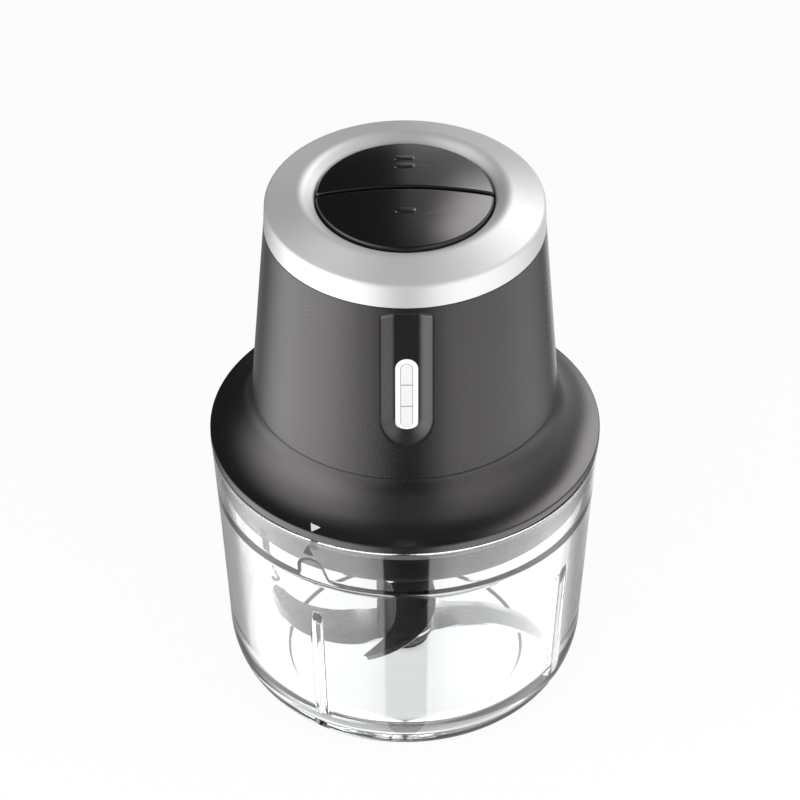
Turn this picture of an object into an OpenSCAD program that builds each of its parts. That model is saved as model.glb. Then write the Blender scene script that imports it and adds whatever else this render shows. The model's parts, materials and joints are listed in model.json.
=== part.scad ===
// Cordless food chopper: a glass bowl, a four-wing blade on a steel pin and a battery-driven head.
// Millimetres. +Z is up, the front with the charge gauge faces -Y, and the origin is the centre of
// the bowl's foot.

/* [Glass bowl] */
// Height of the bowl, foot to rim
bowl_h = 104; // [98:1:115]
// Outer radius at the mouth
mouth_r = 69.7; // [67:0.1:76]
// How much narrower the waist is than the mouth
mouth_taper = 2.4; // [1:0.1:4]
// Height of the flared band above the waist
mouth_band_h = 37; // [32:1:45]
// How much narrower the body is at the foot curve than at the waist
body_taper = 2.6; // [1:0.1:4]
// Height of the curve at the foot
curve_h = 23; // [18:1:26]
// Inward reach of the curve at the foot
curve_w = 14.7; // [10:0.1:18]
// Wall below the ledge
glass_wall = 5.2; // [4.2:0.1:5.8]
// Wall at the mouth
mouth_wall = 3.7; // [3.2:0.1:4.2]
// Thickness of the glass floor
floor_t = 7.5; // [6:0.5:9]
// Depth of the ledge below the rim
ledge_drop = 21.5; // [19:0.5:24]
// Rise of each locating key above the ledge
key_rise = 9.5; // [7:0.5:11]
// Width of each locating key
key_w = 11; // [8:0.5:14]
// Inward height of the ribs on the wall
rib_h = 2.2; // [1.5:0.1:2.6]
// Width of the ribs
rib_w = 3.2; // [1.8:0.1:4]
// Depth of the ribs' top ends below the rim
rib_drop = 38; // [34:1:50]

/* [Blade] */
// Radius of the steel pin in the bowl
pin_r = 3; // [2.5:0.1:3.4]
// Height of the pin's tip above the glass floor
pin_h = 36; // [28:1:44]
// Reach of the lower wings from the axis
lower_reach = 52; // [44:0.5:53]
// Reach of the upper wings from the axis
upper_reach = 49; // [40:0.5:52]
// Thickness of the blade steel
blade_t = 1.2; // [0.8:0.1:2]
// Height between the lower and upper wings
wing_gap = 26; // [18:1:34]

/* [Head shells] */
// How far the skirt stands out past the bowl's mouth
lid_overhang = 0.3; // [0.1:0.1:2]
// Height of the upright band at the skirt's edge
rim_wall_h = 2.5; // [2:0.1:5]
// Height from that band up to the seam
skirt_h = 18.4; // [15:0.2:24]
// Radius of the skirt's rounded edge
shoulder_r = 2; // [1:0.5:4]
// Radius of the housing at the seam
seam_r = 54.6; // [52:0.2:58]
// Height of the housing, seam to trim ring
housing_h = 70.9; // [66:0.1:84]
// Radius of the housing at the trim ring
housing_top_r = 49.2; // [48:0.1:53]
// Wall of the plastic shells
shell_t = 2.4; // [2:0.1:3]
// Depth of the lower tub below the bowl's rim
collar_depth = 17; // [15:0.5:17.5]
// Height of the trim ring's upright band
band_h = 8.9; // [7:0.1:12]
// Rise of the trim ring's crown above that band
crown_h = 4.3; // [2:0.1:5]
// Radius of the crown's edge
crown_r = 36; // [35:0.1:42]
// Radius of the button well
well_r = 31.4; // [30:0.1:34]

/* [Buttons] */
// Rise of the button dome at its centre
dome_h = 3.4; // [1.5:0.1:4.5]
// Gap between the two half buttons
split_gap = 1.4; // [0.8:0.1:3]
// Travel of each button
press = 3; // [1:0.1:3.4]

/* [Charge gauge] */
// Width of the recess where its sides reach the front tangent plane
recess_w = 20.8; // [18:0.2:24]
// Depth of the recess
recess_d = 3; // [2:0.1:4]
// Depth of the recess's top end below the trim ring
recess_drop = 2.3; // [1:0.1:5]
// Depth of the recess's bottom end below the trim ring
recess_foot = 56.5; // [50:0.1:58]
// Width of the lit window
window_w = 7.9; // [7:0.1:9]
// Height of the lit window
window_h = 30; // [26:0.1:34]
// Depth of the window's centre below the trim ring
window_drop = 37.5; // [34:0.1:39]

/* [Drive] */
// Module of the planetary gears
gear_m = 0.8; // [0.75:0.05:0.85]
// Teeth of the sun pinion
sun_n = 12; // [12:3:15]
// Teeth of each planet
planet_n = 18; // [18:3:21]
// Width of the gear teeth
gear_w = 7; // [5:0.5:7.5]
// Radius of the output shaft
out_r = 5.5; // [5:0.1:6]
// Radius of the motor can
motor_r = 18.2; // [17:0.1:18.6]
// Length of the motor can
motor_l = 52; // [46:1:54]

/* [Hidden] */
$fn = 64;

// clearances
seat_gap = 0.3;
run_fit = 0.05;
press_fit = 0.02;
face_gap = 0.4;

// bowl
ledge_z = bowl_h - ledge_drop;
waist_z = bowl_h - mouth_band_h;
waist_r = mouth_r - mouth_taper;
body_r = waist_r - body_taper;
foot_r = body_r - curve_w;
foot_recess = 1.5;
mouth_in_r = mouth_r - mouth_wall;
band_low_r = mouth_in_r - 0.8;
lip_r = 1.5;
key_top = ledge_z + key_rise;
key_in_r = wall_in(ledge_z) + 0.2;
mark_a = -120;
key_half = asin(key_w / 2 / key_in_r);
rib_top = bowl_h - rib_drop;
boss_r = 9;
boss_top = floor_t + 3;
in_curve_h = 15;
in_curve_w = 13;

// head levels
lid_r = mouth_r + lid_overhang;
rim_z = bowl_h + seat_gap;
shoulder_z = rim_z + rim_wall_h;
seam_z = shoulder_z + skirt_h;
ring_z = seam_z + housing_h;
crease_z = ring_z + band_h;
top_z = crease_z + crown_h;
tub_z = rim_z - collar_depth;
tub_t = 2.6;
collar_r = band_low_r - 0.9;
flange_r = mouth_in_r + 0.8;
twist = 15;
notch_r = key_in_r - 0.7;
notch_top = key_top + 1.2;
wall_tilt = atan((seam_r - housing_top_r) / housing_h);
ring_wall_r = housing_top_r - 0.4;

// blade
pin_seat = 3.6;
pin_top = floor_t + pin_h;
hub_z = boss_top + face_gap;
hub_r = out_r + 2.1;
sleeve_r = hub_r + 2.8;
flange_t = 2.6;
lower_z = hub_z + flange_t;
upper_z = lower_z + blade_t + wing_gap;
bush_r = pin_r + 1.8;
hub_top = tub_z - 1.2;
socket_z = hub_top - 10.5;
wing_a = 13;
dog_w = 5;
dog_play = 16;
slot_gap = 0.3;

// seal
groove_r = collar_r - 1.2;
seal_z = rim_z - 5.6;
seal_h = 2.4;
seal_r = band_low_r + 0.35;

// gearbox, from the tub's floor up
ring_n = sun_n + 2 * planet_n;
orbit_r = gear_m * (sun_n + planet_n) / 2;
tooth_add = 0.8 * gear_m;
tooth_ded = 1.15 * gear_m;
tooth_play = 0.22;
bearing_r = out_r + 3;
bearing_z = tub_z + 2;
bearing_h = 8;
carrier_z = bearing_z + bearing_h + 1;
carrier_t = 3;
carrier_r = orbit_r + 5;
gear_z = carrier_z + carrier_t + face_gap;
plate_z = gear_z + gear_w + 1.6;
plate_t = 2.5;
case_r = gear_m * ring_n / 2 + 6;
planet_pin_r = 1.5;
shaft_r = 1.6;

// motor and cells
can_z = plate_z + plate_t;
can_top = can_z + motor_l;
can_t = 1.5;
cap_t = 3.5;
cell_r = 9.2;
cell_l = 65;
cell_orbit = motor_r + cell_r + 2.1;
cell_z = can_z + face_gap;
cell_top = cell_z + cell_l;
clamp_z = cell_top + 0.8;
clamp_t = 2.5;
pillar_orbit = cell_orbit + 6;
pillar_a = 114;
post_orbit = 39;
post_a = 60;
plate_r = 44;
board_z = clamp_z + clamp_t + 3;
board_t = 1.6;
board_r = 37;

// buttons
deck_t = 2.5;
deck_z = ring_z - 4.1;
front_wall = 2.2;
deck_r = shell_r(deck_z + deck_t) - recess_d - front_wall - seat_gap;
button_r = well_r - 0.5;
button_rim_z = crease_z + 2.7;
button_low = ring_z + 2.4;
button_t = 2.2;
stem_y = 15;
stem_r = 4;
switch_z = board_z + board_t;
switch_h = 2;
stem_z = switch_z + switch_h + press + seat_gap;
dome_r = (button_r * button_r + dome_h * dome_h) / (2 * dome_h);

// charge gauge and charging port
floor_w = window_w + 1.7;
recess_top = ring_z - recess_drop;
recess_low = ring_z - recess_foot + recess_w / 2;
window_z = ring_z - window_drop;
frame_t = 2.6;
frame_rim = 1.8;
pad_d = recess_d + frame_t + 1.2;
port_z = seam_z + 20;
port_w = 17;
port_h = 8;
port_d = 2.2;
flap_t = 1.8;
port_pad_d = 9;
ribbon_w = 6;
ribbon_t = 0.4;

glass_c = [0.80, 0.88, 0.90, 0.45];
steel_c = [0.78, 0.79, 0.80];
silver_c = [0.72, 0.72, 0.71];
shell_c = [0.20, 0.20, 0.21];
black_c = [0.06, 0.06, 0.06];
rubber_c = [0.75, 0.75, 0.72];
white_c = [0.94, 0.94, 0.92];
brass_c = [0.72, 0.55, 0.25];
board_c = [0.10, 0.32, 0.18];
cell_c = [0.25, 0.40, 0.62];
copper_c = [0.70, 0.40, 0.22];

function arc(cx, cy, rx, ry, a0, a1, n) =
    [for (i = [0:n]) let (a = a0 + (a1 - a0) * i / n) [cx + rx * cos(a), cy + ry * sin(a)]];

// outer and inner radius of the straight glass wall at a height
function wall_out(z) = z > waist_z
    ? waist_r + mouth_taper * (z - waist_z) / mouth_band_h
    : body_r + body_taper * (z - curve_h) / (waist_z - curve_h);
function wall_in(z) = wall_out(z) - glass_wall;

// housing radius at a height
function shell_r(z) = seam_r - (seam_r - housing_top_r) * (z - seam_z) / housing_h;

// skirt: a hollow arc and a round edge that meet at one tangent
function skirt_sum() = (pow(lid_r - seam_r, 2) + skirt_h * skirt_h) / (2 * (lid_r - seam_r));
function skirt_angle() = acos((lid_r - seam_r) / skirt_sum() - 1);
function hollow_r() = skirt_sum() - shoulder_r;
function skirt_curve() = concat(
    arc(seam_r + hollow_r(), seam_z, hollow_r(), hollow_r(), 180, 360 - skirt_angle(), 18),
    arc(lid_r - shoulder_r, shoulder_z, shoulder_r, shoulder_r, 180 - skirt_angle(), 0, 8));
// under side of the hollow, from the seam out to the land that sits on the tub
function skirt_under() = let (r = hollow_r() + shell_t, mid = seam_r + hollow_r())
    arc(mid, seam_z, r, r, 180, 180 + acos((mid - collar_r + tub_t) / r), 14);

// involute gear outline, with play taken off the tooth thickness at the pitch circle
function inv_deg(a) = tan(a) * 180 / PI - a;
function flank_deg(rb, r) = inv_deg(acos(min(1, rb / r)));
function tooth_half(n, rp, r, play) = 90 / n - play / (2 * rp) * 180 / PI
    + flank_deg(rp * cos(20), rp) - flank_deg(rp * cos(20), max(r, rp * cos(20)));
function polar(r, a) = [r * cos(a), r * sin(a)];
function gear_points(n, add, ded, play) =
    let (rp = gear_m * n / 2, steps = 3)
    [for (i = [0:n - 1], k = [0:2 * steps + 1])
        let (up = k <= steps,
             r = rp - ded + (add + ded) * (up ? k : 2 * steps + 1 - k) / steps)
        polar(r, 360 * i / n + (up ? -1 : 1) * tooth_half(n, rp, r, play))];

// swept-back wing: the centre line bends with the square of the distance out
function wing_mid(r0, r1, sweep, t) = polar(r0 + (r1 - r0) * t, -sweep * t * t);
function wing_side(r0, r1, w, sweep, sign, n) =
    [for (i = [0:n]) let (t = i / n, p = wing_mid(r0, r1, sweep, t),
                          h = w / 2 * pow(1 - 0.96 * pow(t, 2.2), 0.6))
        p + polar(sign * h, 90 - sweep * t * t - 26 * t)];
function wing_points(r0, r1, w, sweep) = concat(
    wing_side(r0, r1, w, sweep, -1, 14),
    [for (p = [14:-1:0]) wing_side(r0, r1, w, sweep, 1, 14)[p]]);

module ring(r_out, r_in, z0, z1) {
    rotate_extrude()
        translate([r_in, z0])
            square([r_out - r_in, z1 - z0]);
}

module pill(w, h) {
    translate([0, h / 2 - w / 2])
        circle(d = w);
    translate([0, -h / 2 + w / 2])
        circle(d = w);
    square([w, h - w], center = true);
}

// frame on the housing's wall: x across, y up the slope, z outward; a = 0 at the front
module on_wall(z, a = 0) {
    rotate([0, 0, a])
        translate([0, -shell_r(z), z])
            rotate([90 - wall_tilt, 0, 0])
                children();
}

module around(n, a0, r) {
    for (i = [0:n - 1])
        rotate([0, 0, a0 + 360 * i / n])
            translate([r, 0, 0])
                children();
}

// part of a ring between two angles
module sector(r_out, r_in, z0, z1, a0, a1) {
    rotate([0, 0, a0])
        rotate_extrude(angle = a1 - a0)
            translate([r_in, z0])
                square([r_out - r_in, z1 - z0]);
}

// glass bowl

module bowl_turned() {
    in_r = body_r - glass_wall;
    rotate_extrude()
        polygon(concat(
            [[0, foot_recess], [foot_r - 6 - foot_recess, foot_recess], [foot_r - 6, 0]],
            arc(foot_r, curve_h, curve_w, curve_h, -90, 0, 14),
            [[waist_r, waist_z]],
            arc(mouth_r - lip_r, bowl_h - lip_r, lip_r, lip_r, 0, 90, 5),
            arc(mouth_in_r + lip_r, bowl_h - lip_r, lip_r, lip_r, 90, 180, 5),
            [[band_low_r, ledge_z + 1.4], [wall_in(ledge_z) + 0.5, ledge_z],
             [wall_in(ledge_z - 1), ledge_z - 1], [wall_in(waist_z), waist_z]],
            arc(in_r - in_curve_w, floor_t + in_curve_h, in_curve_w, in_curve_h, 0, -90, 12),
            [[boss_r + 2.5, floor_t], [boss_r, floor_t + 1.2], [boss_r - 1, boss_top], [0, boss_top]]));
}

// key seen from the axis: steep on one side, an easy ramp on the other
module key_face() {
    polygon(concat(
        [[-key_w / 2, ledge_z - 2]],
        arc(0, key_top - key_w / 2, key_w / 2, key_w / 2, 180, 60, 8),
        arc(key_w / 2 + 4, ledge_z + 4, 4.6, 4, 200, 270, 6),
        [[key_w / 2 + 4, ledge_z - 2]]));
}

module key() {
    intersection() {
        ring(band_low_r + 1.2, key_in_r, ledge_z - 1.5, key_top + 2);
        translate([key_in_r - 8, 0, 0])
            rotate([90, 0, 90])
                linear_extrude(height = 16)
                    key_face();
    }
}

module rib() {
    low = floor_t + 1;
    translate([0, rib_w / 2, 0])
        rotate([90, 0, 0])
            linear_extrude(height = rib_w)
                polygon([[wall_in(rib_top) + 1, rib_top], [wall_in(rib_top) - 0.4, rib_top - 0.6],
                         [wall_in(rib_top) - 0.8 * rib_h, rib_top - 4],
                         [wall_in(rib_top) - rib_h, rib_top - 8],
                         [body_r - glass_wall - rib_h, curve_h],
                         [body_r - glass_wall - rib_h, low],
                         [body_r - glass_wall - 1, low], [wall_in(curve_h) + 1.5, curve_h]]);
}

module glass_bowl() {
    color(glass_c)
        difference() {
            union() {
                bowl_turned();
                around(2, mark_a, 0)
                    key();
                around(4, mark_a, 0)
                    rib();
            }
            translate([0, 0, pin_seat])
                cylinder(r = pin_r + press_fit, h = boss_top);
        }
}

module blade_pin() {
    color(steel_c)
        rotate_extrude()
            polygon(concat([[0, pin_seat], [pin_r, pin_seat]],
                           arc(0, pin_top - pin_r, pin_r, pin_r, 0, 90, 8)));
}

// blade, turning on the pin

module blade_hub() {
    color(black_c)
        difference() {
            rotate_extrude()
                polygon([[0, hub_z], [sleeve_r - 0.8, hub_z], [sleeve_r, hub_z + 0.8],
                         [sleeve_r, lower_z], [hub_r, lower_z], [hub_r, hub_top - 0.6],
                         [hub_r - 0.6, hub_top], [0, hub_top]]);
            translate([0, 0, hub_z - 1])
                cylinder(r = bush_r + press_fit, h = pin_top + 2.5 - hub_z + 1);
            translate([0, 0, socket_z])
                linear_extrude(height = hub_top)
                    intersection() {
                        circle(r = out_r + slot_gap);
                        for (a = [-dog_play, 0, dog_play])
                            rotate([0, 0, a])
                                square([4 * out_r, dog_w + 2 * slot_gap], center = true);
                    }
        }
}

module hub_bush() {
    color(brass_c)
        rotate_extrude()
            polygon(concat(
                [[pin_r + run_fit, hub_z + 0.2], [bush_r, hub_z + 0.2], [bush_r, pin_top + 2.4],
                 [0, pin_top + 2.4]],
                arc(0, pin_top - pin_r, pin_r + run_fit, pin_r + face_gap, 90, 0, 8)));
}

module wings(reach, w, sweep, a0, pitch) {
    around(2, a0, 0)
        rotate([pitch, 0, 0])
            linear_extrude(height = blade_t, center = true)
                polygon(wing_points(hub_r + 1, reach, w, sweep));
}

module blade_plate(z, reach, w, sweep, a0, pitch) {
    color(steel_c)
        translate([0, 0, z + blade_t / 2])
            difference() {
                union() {
                    cylinder(r = sleeve_r, h = blade_t, center = true);
                    difference() {
                        wings(reach, w, sweep, a0, pitch);
                        cylinder(r = sleeve_r + 0.15, h = 40, center = true);
                    }
                    wings(sleeve_r + 3, 7, 0, a0, 0);
                }
                cylinder(r = hub_r + press_fit, h = 40, center = true);
            }
}

module lower_blade() {
    blade_plate(lower_z, lower_reach, 17, 30, wing_a, -7);
}

module blade_spacer() {
    color(black_c)
        ring(sleeve_r, hub_r + press_fit, lower_z + blade_t, upper_z);
}

module upper_blade() {
    blade_plate(upper_z, upper_reach, 15, 30, wing_a + 90, 9);
}

module hub_sleeve() {
    color(black_c)
        rotate_extrude()
            polygon([[hub_r + press_fit, upper_z + blade_t], [sleeve_r, upper_z + blade_t],
                     [sleeve_r, upper_z + blade_t + 10], [hub_r + 1.6, hub_top - 4],
                     [hub_r + 1.6, hub_top - 0.8], [hub_r + press_fit, hub_top - 0.8]]);
}

// seal between bowl and head

module bowl_seal() {
    color(rubber_c)
        rotate_extrude()
            polygon([[groove_r + seat_gap, seal_z], [collar_r + 0.2, seal_z], [seal_r, seal_z + 0.5],
                     [collar_r + 0.5, seal_z + 1.1], [seal_r, seal_z + 1.7],
                     [collar_r + 0.2, seal_z + seal_h], [groove_r + seat_gap, seal_z + seal_h]]);
}

// head shells

module tub_turned() {
    rotate_extrude()
        polygon(concat(
            [[0, tub_z]],
            arc(collar_r - 2, tub_z + 2, 2, 2, -90, 0, 5),
            [[collar_r, seal_z - seat_gap], [groove_r, seal_z - seat_gap],
             [groove_r, seal_z + seal_h + seat_gap], [collar_r, seal_z + seal_h + seat_gap],
             [collar_r, rim_z], [flange_r, rim_z], [flange_r, shoulder_z],
             [collar_r - tub_t, shoulder_z], [collar_r - tub_t, tub_z + tub_t + 1.2],
             [collar_r - tub_t - 1.2, tub_z + tub_t], [0, tub_z + tub_t]]));
}

module base_tub() {
    a0 = mark_a - key_half - twist - 1.2;
    a1 = mark_a + asin((key_w / 2 + 4.2) / key_in_r) + 1.2;
    color(black_c)
        difference() {
            union() {
                tub_turned();
                for (a = [0, 180])
                    sector(notch_r + 0.5, notch_r - 2.2, tub_z + 0.5, notch_top + 2, a + a0 - 2, a + a1 + 2);
                cylinder_at(bearing_r + 3, tub_z + 0.5, bearing_z + bearing_h);
                around(3, post_a, post_orbit)
                    cylinder_at(4, tub_z + 0.5, plate_z);
            }
            for (a = [0, 180])
                sector(collar_r + 3, notch_r, tub_z - 1, notch_top, a + a0, a + a1);
            cylinder_at(bearing_r + press_fit, bearing_z, plate_z);
            cylinder_at(bearing_r - 1, tub_z - 1, plate_z);
            around(3, post_a, post_orbit)
                cylinder_at(1.4, plate_z - 10, plate_z + 1);
        }
}

module cylinder_at(r, z0, z1) {
    translate([0, 0, z0])
        cylinder(r = r, h = z1 - z0);
}

module base_skirt() {
    lip = seam_r - shell_t - press_fit;
    lip_top = seam_z + 5;
    lip_in = shell_r(lip_top) - shell_t - press_fit;
    color(shell_c)
        difference() {
            rotate_extrude()
                polygon(concat(
                    [[lip - 2, lip_top], [lip_in, lip_top], [lip, seam_z],
                     [seam_r - 0.35, seam_z], [seam_r, seam_z - 0.35]],
                    [for (i = [2:27]) skirt_curve()[i]],
                    [[lid_r, rim_z + 0.3], [lid_r - 0.3, rim_z], [lid_r - shell_t, rim_z],
                     [lid_r - shell_t, shoulder_z], [collar_r - tub_t, shoulder_z]],
                    [for (i = [14:-1:3]) skirt_under()[i]],
                    [[lip - 2, seam_z - 2.4]]));
            for (a = [0:90:270])
                rotate([0, 0, a + 45])
                    translate([collar_r - tub_t / 2, 0, shoulder_z - 1])
                        cylinder(r = 0.6, h = 2);
        }
}

// recess with sloping sides and a round lower end, cut from the front wall
module recess_cut() {
    out = 4;
    grow = (recess_w - floor_w) / 2 / recess_d;
    rise = recess_top - recess_low;
    on_wall(recess_low) {
        translate([0, rise, 0])
            rotate([90, 0, 0])
                linear_extrude(height = rise)
                    polygon([[-floor_w / 2, -recess_d], [floor_w / 2, -recess_d],
                             [recess_w / 2 + grow * out, out], [-recess_w / 2 - grow * out, out]]);
        translate([0, 0, -recess_d])
            cylinder(r1 = floor_w / 2, r2 = recess_w / 2 + grow * out, h = recess_d + out);
    }
}

module shell_solid(z0, z1) {
    cylinder_between(shell_r(z0), shell_r(z1), z0, z1);
}

module cylinder_between(r0, r1, z0, z1) {
    translate([0, 0, z0])
        cylinder(r1 = r0, r2 = r1, h = z1 - z0);
}

module wall_pad(z0, z1, w, depth, a) {
    intersection() {
        shell_solid(z0, z1);
        rotate([0, 0, a])
            translate([-w / 2, -shell_r(z0) - 5, z0])
                cube([w, 5 + shell_r(z0) - shell_r(z1) + depth, z1 - z0]);
    }
}

module port_cuts() {
    on_wall(port_z, 180) {
        translate([0, 0, -port_d])
            linear_extrude(height = 8)
                square([port_w, port_h], center = true);
        translate([flap_axis_x(), 0, flap_axis_z()])
            rotate([90, 0, 0])
                cylinder(r = 0.8 + run_fit, h = port_h + 2.4, center = true);
        translate([0, 0, -20])
            linear_extrude(height = 20)
                socket_outline(0.1);
    }
}

module housing_shell() {
    top = ring_z;
    color(shell_c)
        difference() {
            union() {
                rotate_extrude()
                    polygon([[seam_r - shell_t, seam_z], [seam_r - 0.35, seam_z],
                             [shell_r(seam_z + 0.35), seam_z + 0.35], [housing_top_r, top],
                             [housing_top_r - shell_t, top],
                             [shell_r(deck_z) - shell_t, deck_z],
                             [deck_r - 2.2, deck_z],
                             [deck_r - 2.2, deck_z - 1],
                             [shell_r(deck_z - 6) - shell_t, deck_z - 6]]);
                wall_pad(recess_low - recess_w / 2 - 2, deck_z - 3, recess_w + 6, pad_d, 0);
                wall_pad(deck_z - 4, deck_z + deck_t, recess_w + 6, recess_d + front_wall, 0);
                wall_pad(port_z - port_h / 2 - 3, port_z + port_h / 2 + 3, port_w + 6, port_pad_d, 180);
            }
            recess_cut();
            on_wall(window_z)
                translate([0, 0, -20])
                    linear_extrude(height = 20)
                        pill(window_w + 2 * press_fit, window_h + 2 * press_fit);
            port_cuts();
        }
}

module trim_ring() {
    t = 1.8;
    spigot = shell_r(deck_z) - shell_t - 0.4;
    color(silver_c)
        rotate_extrude()
            polygon(concat(
                [[housing_top_r, ring_z]],
                arc(ring_wall_r - 0.8, crease_z - 0.8, 0.8, 0.8, 0, 72, 4),
                [[crown_r + 0.8, top_z - 0.25], [crown_r, top_z], [crown_r - 0.8, top_z - 0.15]],
                [[well_r + 0.5, crease_z + 1.7], [well_r, crease_z + 1.1], [well_r, deck_z + deck_t],
                 [well_r + t, deck_z + deck_t], [well_r + t, crease_z - 0.4],
                 [crown_r, top_z - t - 0.6],
                 [ring_wall_r - 3.2, crease_z - t], [spigot - t, ring_z],
                 [spigot - t, deck_z + deck_t], [spigot, deck_z + deck_t], [spigot, ring_z]]));
}

// buttons

module button_deck() {
    color(black_c)
        difference() {
            cylinder_at(deck_r, deck_z, deck_z + deck_t);
            for (y = [-stem_y, stem_y])
                translate([0, y, deck_z - 1])
                    cylinder(r = stem_r + 0.3, h = deck_t + 2);
        }
}

// half button on the side of sign; marks are the places of its raised dashes
module half_button(sign, marks) {
    under = button_rim_z - button_t;
    color(black_c) {
        difference() {
            intersection() {
                rotate_extrude()
                    polygon(concat(
                        [[0, button_low], [button_r, button_low], [button_r, button_rim_z - 0.4],
                         [button_r - 0.8, button_rim_z + 0.1]],
                        arc(0, button_rim_z + dome_h - dome_r, dome_r, dome_r,
                            90 - asin((button_r - 3) / dome_r), 90, 10)));
                translate([-40, sign > 0 ? split_gap / 2 : -40, button_low - 1])
                    cube([80, 40 - split_gap / 2, 30]);
            }
            intersection() {
                cylinder_at(button_r - button_t, button_low - 1, under);
                translate([-40, sign > 0 ? split_gap / 2 + button_t : -40, button_low - 2])
                    cube([80, 40 - split_gap / 2 - button_t, 30]);
            }
        }
        translate([0, sign * stem_y, stem_z])
            cylinder(r = stem_r, h = under + 1 - stem_z);
        for (y = marks)
            translate([0, sign * y, 0])
                dash(y);
    }
}

module dash(y) {
    top = button_rim_z + dome_h - dome_r + sqrt(dome_r * dome_r - y * y) + 0.5;
    translate([0, 0, top - 2.2])
        linear_extrude(height = 2.2)
            rotate([0, 0, 90])
                pill(2.6, 7.6);
}

module front_button() {
    half_button(-1, [12.8]);
}

module rear_button() {
    half_button(1, [13.3, 18.7]);
}

// coil between the deck and a button's underside
module coil(y) {
    turns = 4;
    sides = 6;
    rings = 14 * turns;
    low = deck_z + deck_t + 0.75;
    high = button_rim_z - button_t - 0.75;
    wire = 0.55;
    points = [for (i = [0:rings], j = [0:sides - 1])
        let (a = 360 * turns * i / rings, b = 360 * j / sides, r = stem_r + 1.6 + wire * cos(b))
        [r * cos(a), r * sin(a), low + (high - low) * i / rings + wire * sin(b)]];
    faces = concat(
        [[for (j = [0:sides - 1]) j]],
        [for (i = [0:rings - 1], j = [0:sides - 1])
            [i * sides + (j + 1) % sides, i * sides + j, (i + 1) * sides + j,
             (i + 1) * sides + (j + 1) % sides]],
        [[for (j = [sides - 1:-1:0]) rings * sides + j]]);
    color(steel_c)
        translate([0, y, 0])
            polyhedron(points, faces);
}

module front_spring() {
    coil(-stem_y);
}

module rear_spring() {
    coil(stem_y);
}

// electronics

module control_board() {
    color(board_c)
        difference() {
            cylinder_at(board_r, board_z, board_z + board_t);
            around(3, 30, 30)
                cylinder_at(1.3, board_z - 1, board_z + board_t + 1);
        }
}

module board_parts() {
    room = deck_z - switch_z;
    color(black_c) {
        translate([-24, -4, switch_z])
            cube([8, 8, 0.2 * room]);
        translate([14, -5, switch_z])
            cube([10, 10, 0.4 * room]);
        translate([-13, 4, switch_z])
            cube([5, 4, 0.17 * room]);
    }
}

module tact_switches() {
    color(steel_c)
        for (y = [-stem_y, stem_y])
            translate([0, y, switch_z]) {
                translate([-3, -3, 0])
                    cube([6, 6, switch_h - 0.7]);
                cylinder(r = 1.7, h = switch_h);
            }
}

module gauge_frame() {
    color(white_c)
        on_wall(window_z)
            translate([0, 0, -recess_d - frame_t])
                linear_extrude(height = frame_t + 0.3)
                    difference() {
                        pill(window_w, window_h);
                        pill(window_w - 2 * frame_rim, window_h - 2 * frame_rim);
                    }
}

module gauge_lens() {
    w = window_w - 2 * frame_rim - 2 * press_fit;
    h = window_h - 2 * frame_rim - 2 * press_fit;
    color(white_c)
        on_wall(window_z)
            for (i = [-1, 0, 1])
                translate([0, 0, -recess_d - frame_t])
                    linear_extrude(height = frame_t + 0.5)
                        intersection() {
                            pill(w, h);
                            translate([0, i * h / 3])
                                square([2 * w, h / 3 - 0.4], center = true);
                        }
}

module led_board() {
    color(board_c)
        translate([-8, -shell_r(deck_z - 3) + pad_d, window_z - window_h / 2 - 3])
            cube([16, board_t, window_h + 6]);
}

module led_chips() {
    y = -shell_r(deck_z - 3) + pad_d;
    color(white_c)
        for (i = [-1, 0, 1])
            translate([-1.4, y - 0.7, window_z + i * 8 - 1.4])
                cube([2.8, 0.7, 2.8]);
}

// flat flex lead: from a wall board up to the control board's top
module ribbon(y0, z0, y1) {
    t = ribbon_t;
    rotate([90, 0, 90])
        linear_extrude(height = ribbon_w, center = true)
            polygon([[y0, z0], [y0 + sign(y1 - y0) * t, z0], [y0 + sign(y1 - y0) * t, switch_z],
                     [y1, switch_z], [y1, switch_z + t], [y0, switch_z + t]]);
}

function gauge_y() = -shell_r(deck_z - 3) + pad_d + board_t;

module gauge_ribbon() {
    color(brass_c)
        ribbon(gauge_y(), window_z + 2, -board_r + 5);
}

module socket_outline(grow) {
    rotate([0, 0, 90])
        pill(3.3 + 2 * grow, 9 + 2 * grow);
}

module charge_socket() {
    color(steel_c)
        on_wall(port_z, 180)
            translate([0, 0, -port_d - socket_l() - 0.2]) {
                linear_extrude(height = socket_l())
                    difference() {
                        socket_outline(0);
                        socket_outline(-0.3);
                    }
                linear_extrude(height = 1)
                    socket_outline(-0.1);
                translate([-3.3, -0.35, 0.5])
                    cube([6.6, 0.7, socket_l() - 1.6]);
            }
}

function socket_l() = shell_r(port_z) - port_pad_y() - port_d - 0.6;
function port_pad_y() = shell_r(port_z + port_h / 2 + 3) - port_pad_d;
function charge_y() = port_pad_y() - board_t;

module charge_board() {
    color(board_c)
        translate([-9, charge_y(), port_z - 8])
            cube([18, board_t, 18]);
}

module charge_ribbon() {
    color(brass_c)
        ribbon(charge_y(), port_z + 3, board_r - 5);
}

function flap_axis_x() = -port_w / 2 + flap_t / 2 + 0.35;
function flap_axis_z() = -port_d + flap_t / 2 + 0.15;

module port_flap() {
    free = port_w / 2 - 0.35;
    color(black_c)
        on_wall(port_z, 180)
            translate([flap_axis_x(), 0, flap_axis_z()]) {
                rotate([90, 0, 0]) {
                    cylinder(r = flap_t / 2, h = port_h - 0.6, center = true);
                    cylinder(r = 0.8, h = port_h + 2, center = true);
                }
                translate([0, -port_h / 2 + 0.3, -flap_t / 2])
                    cube([free - flap_axis_x(), port_h - 0.6, flap_t]);
                translate([free - flap_axis_x() - 3.2, -1.6, flap_t / 2 - 0.2])
                    cube([1.2, 3.2, 0.9]);
            }
}

// chassis

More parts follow.
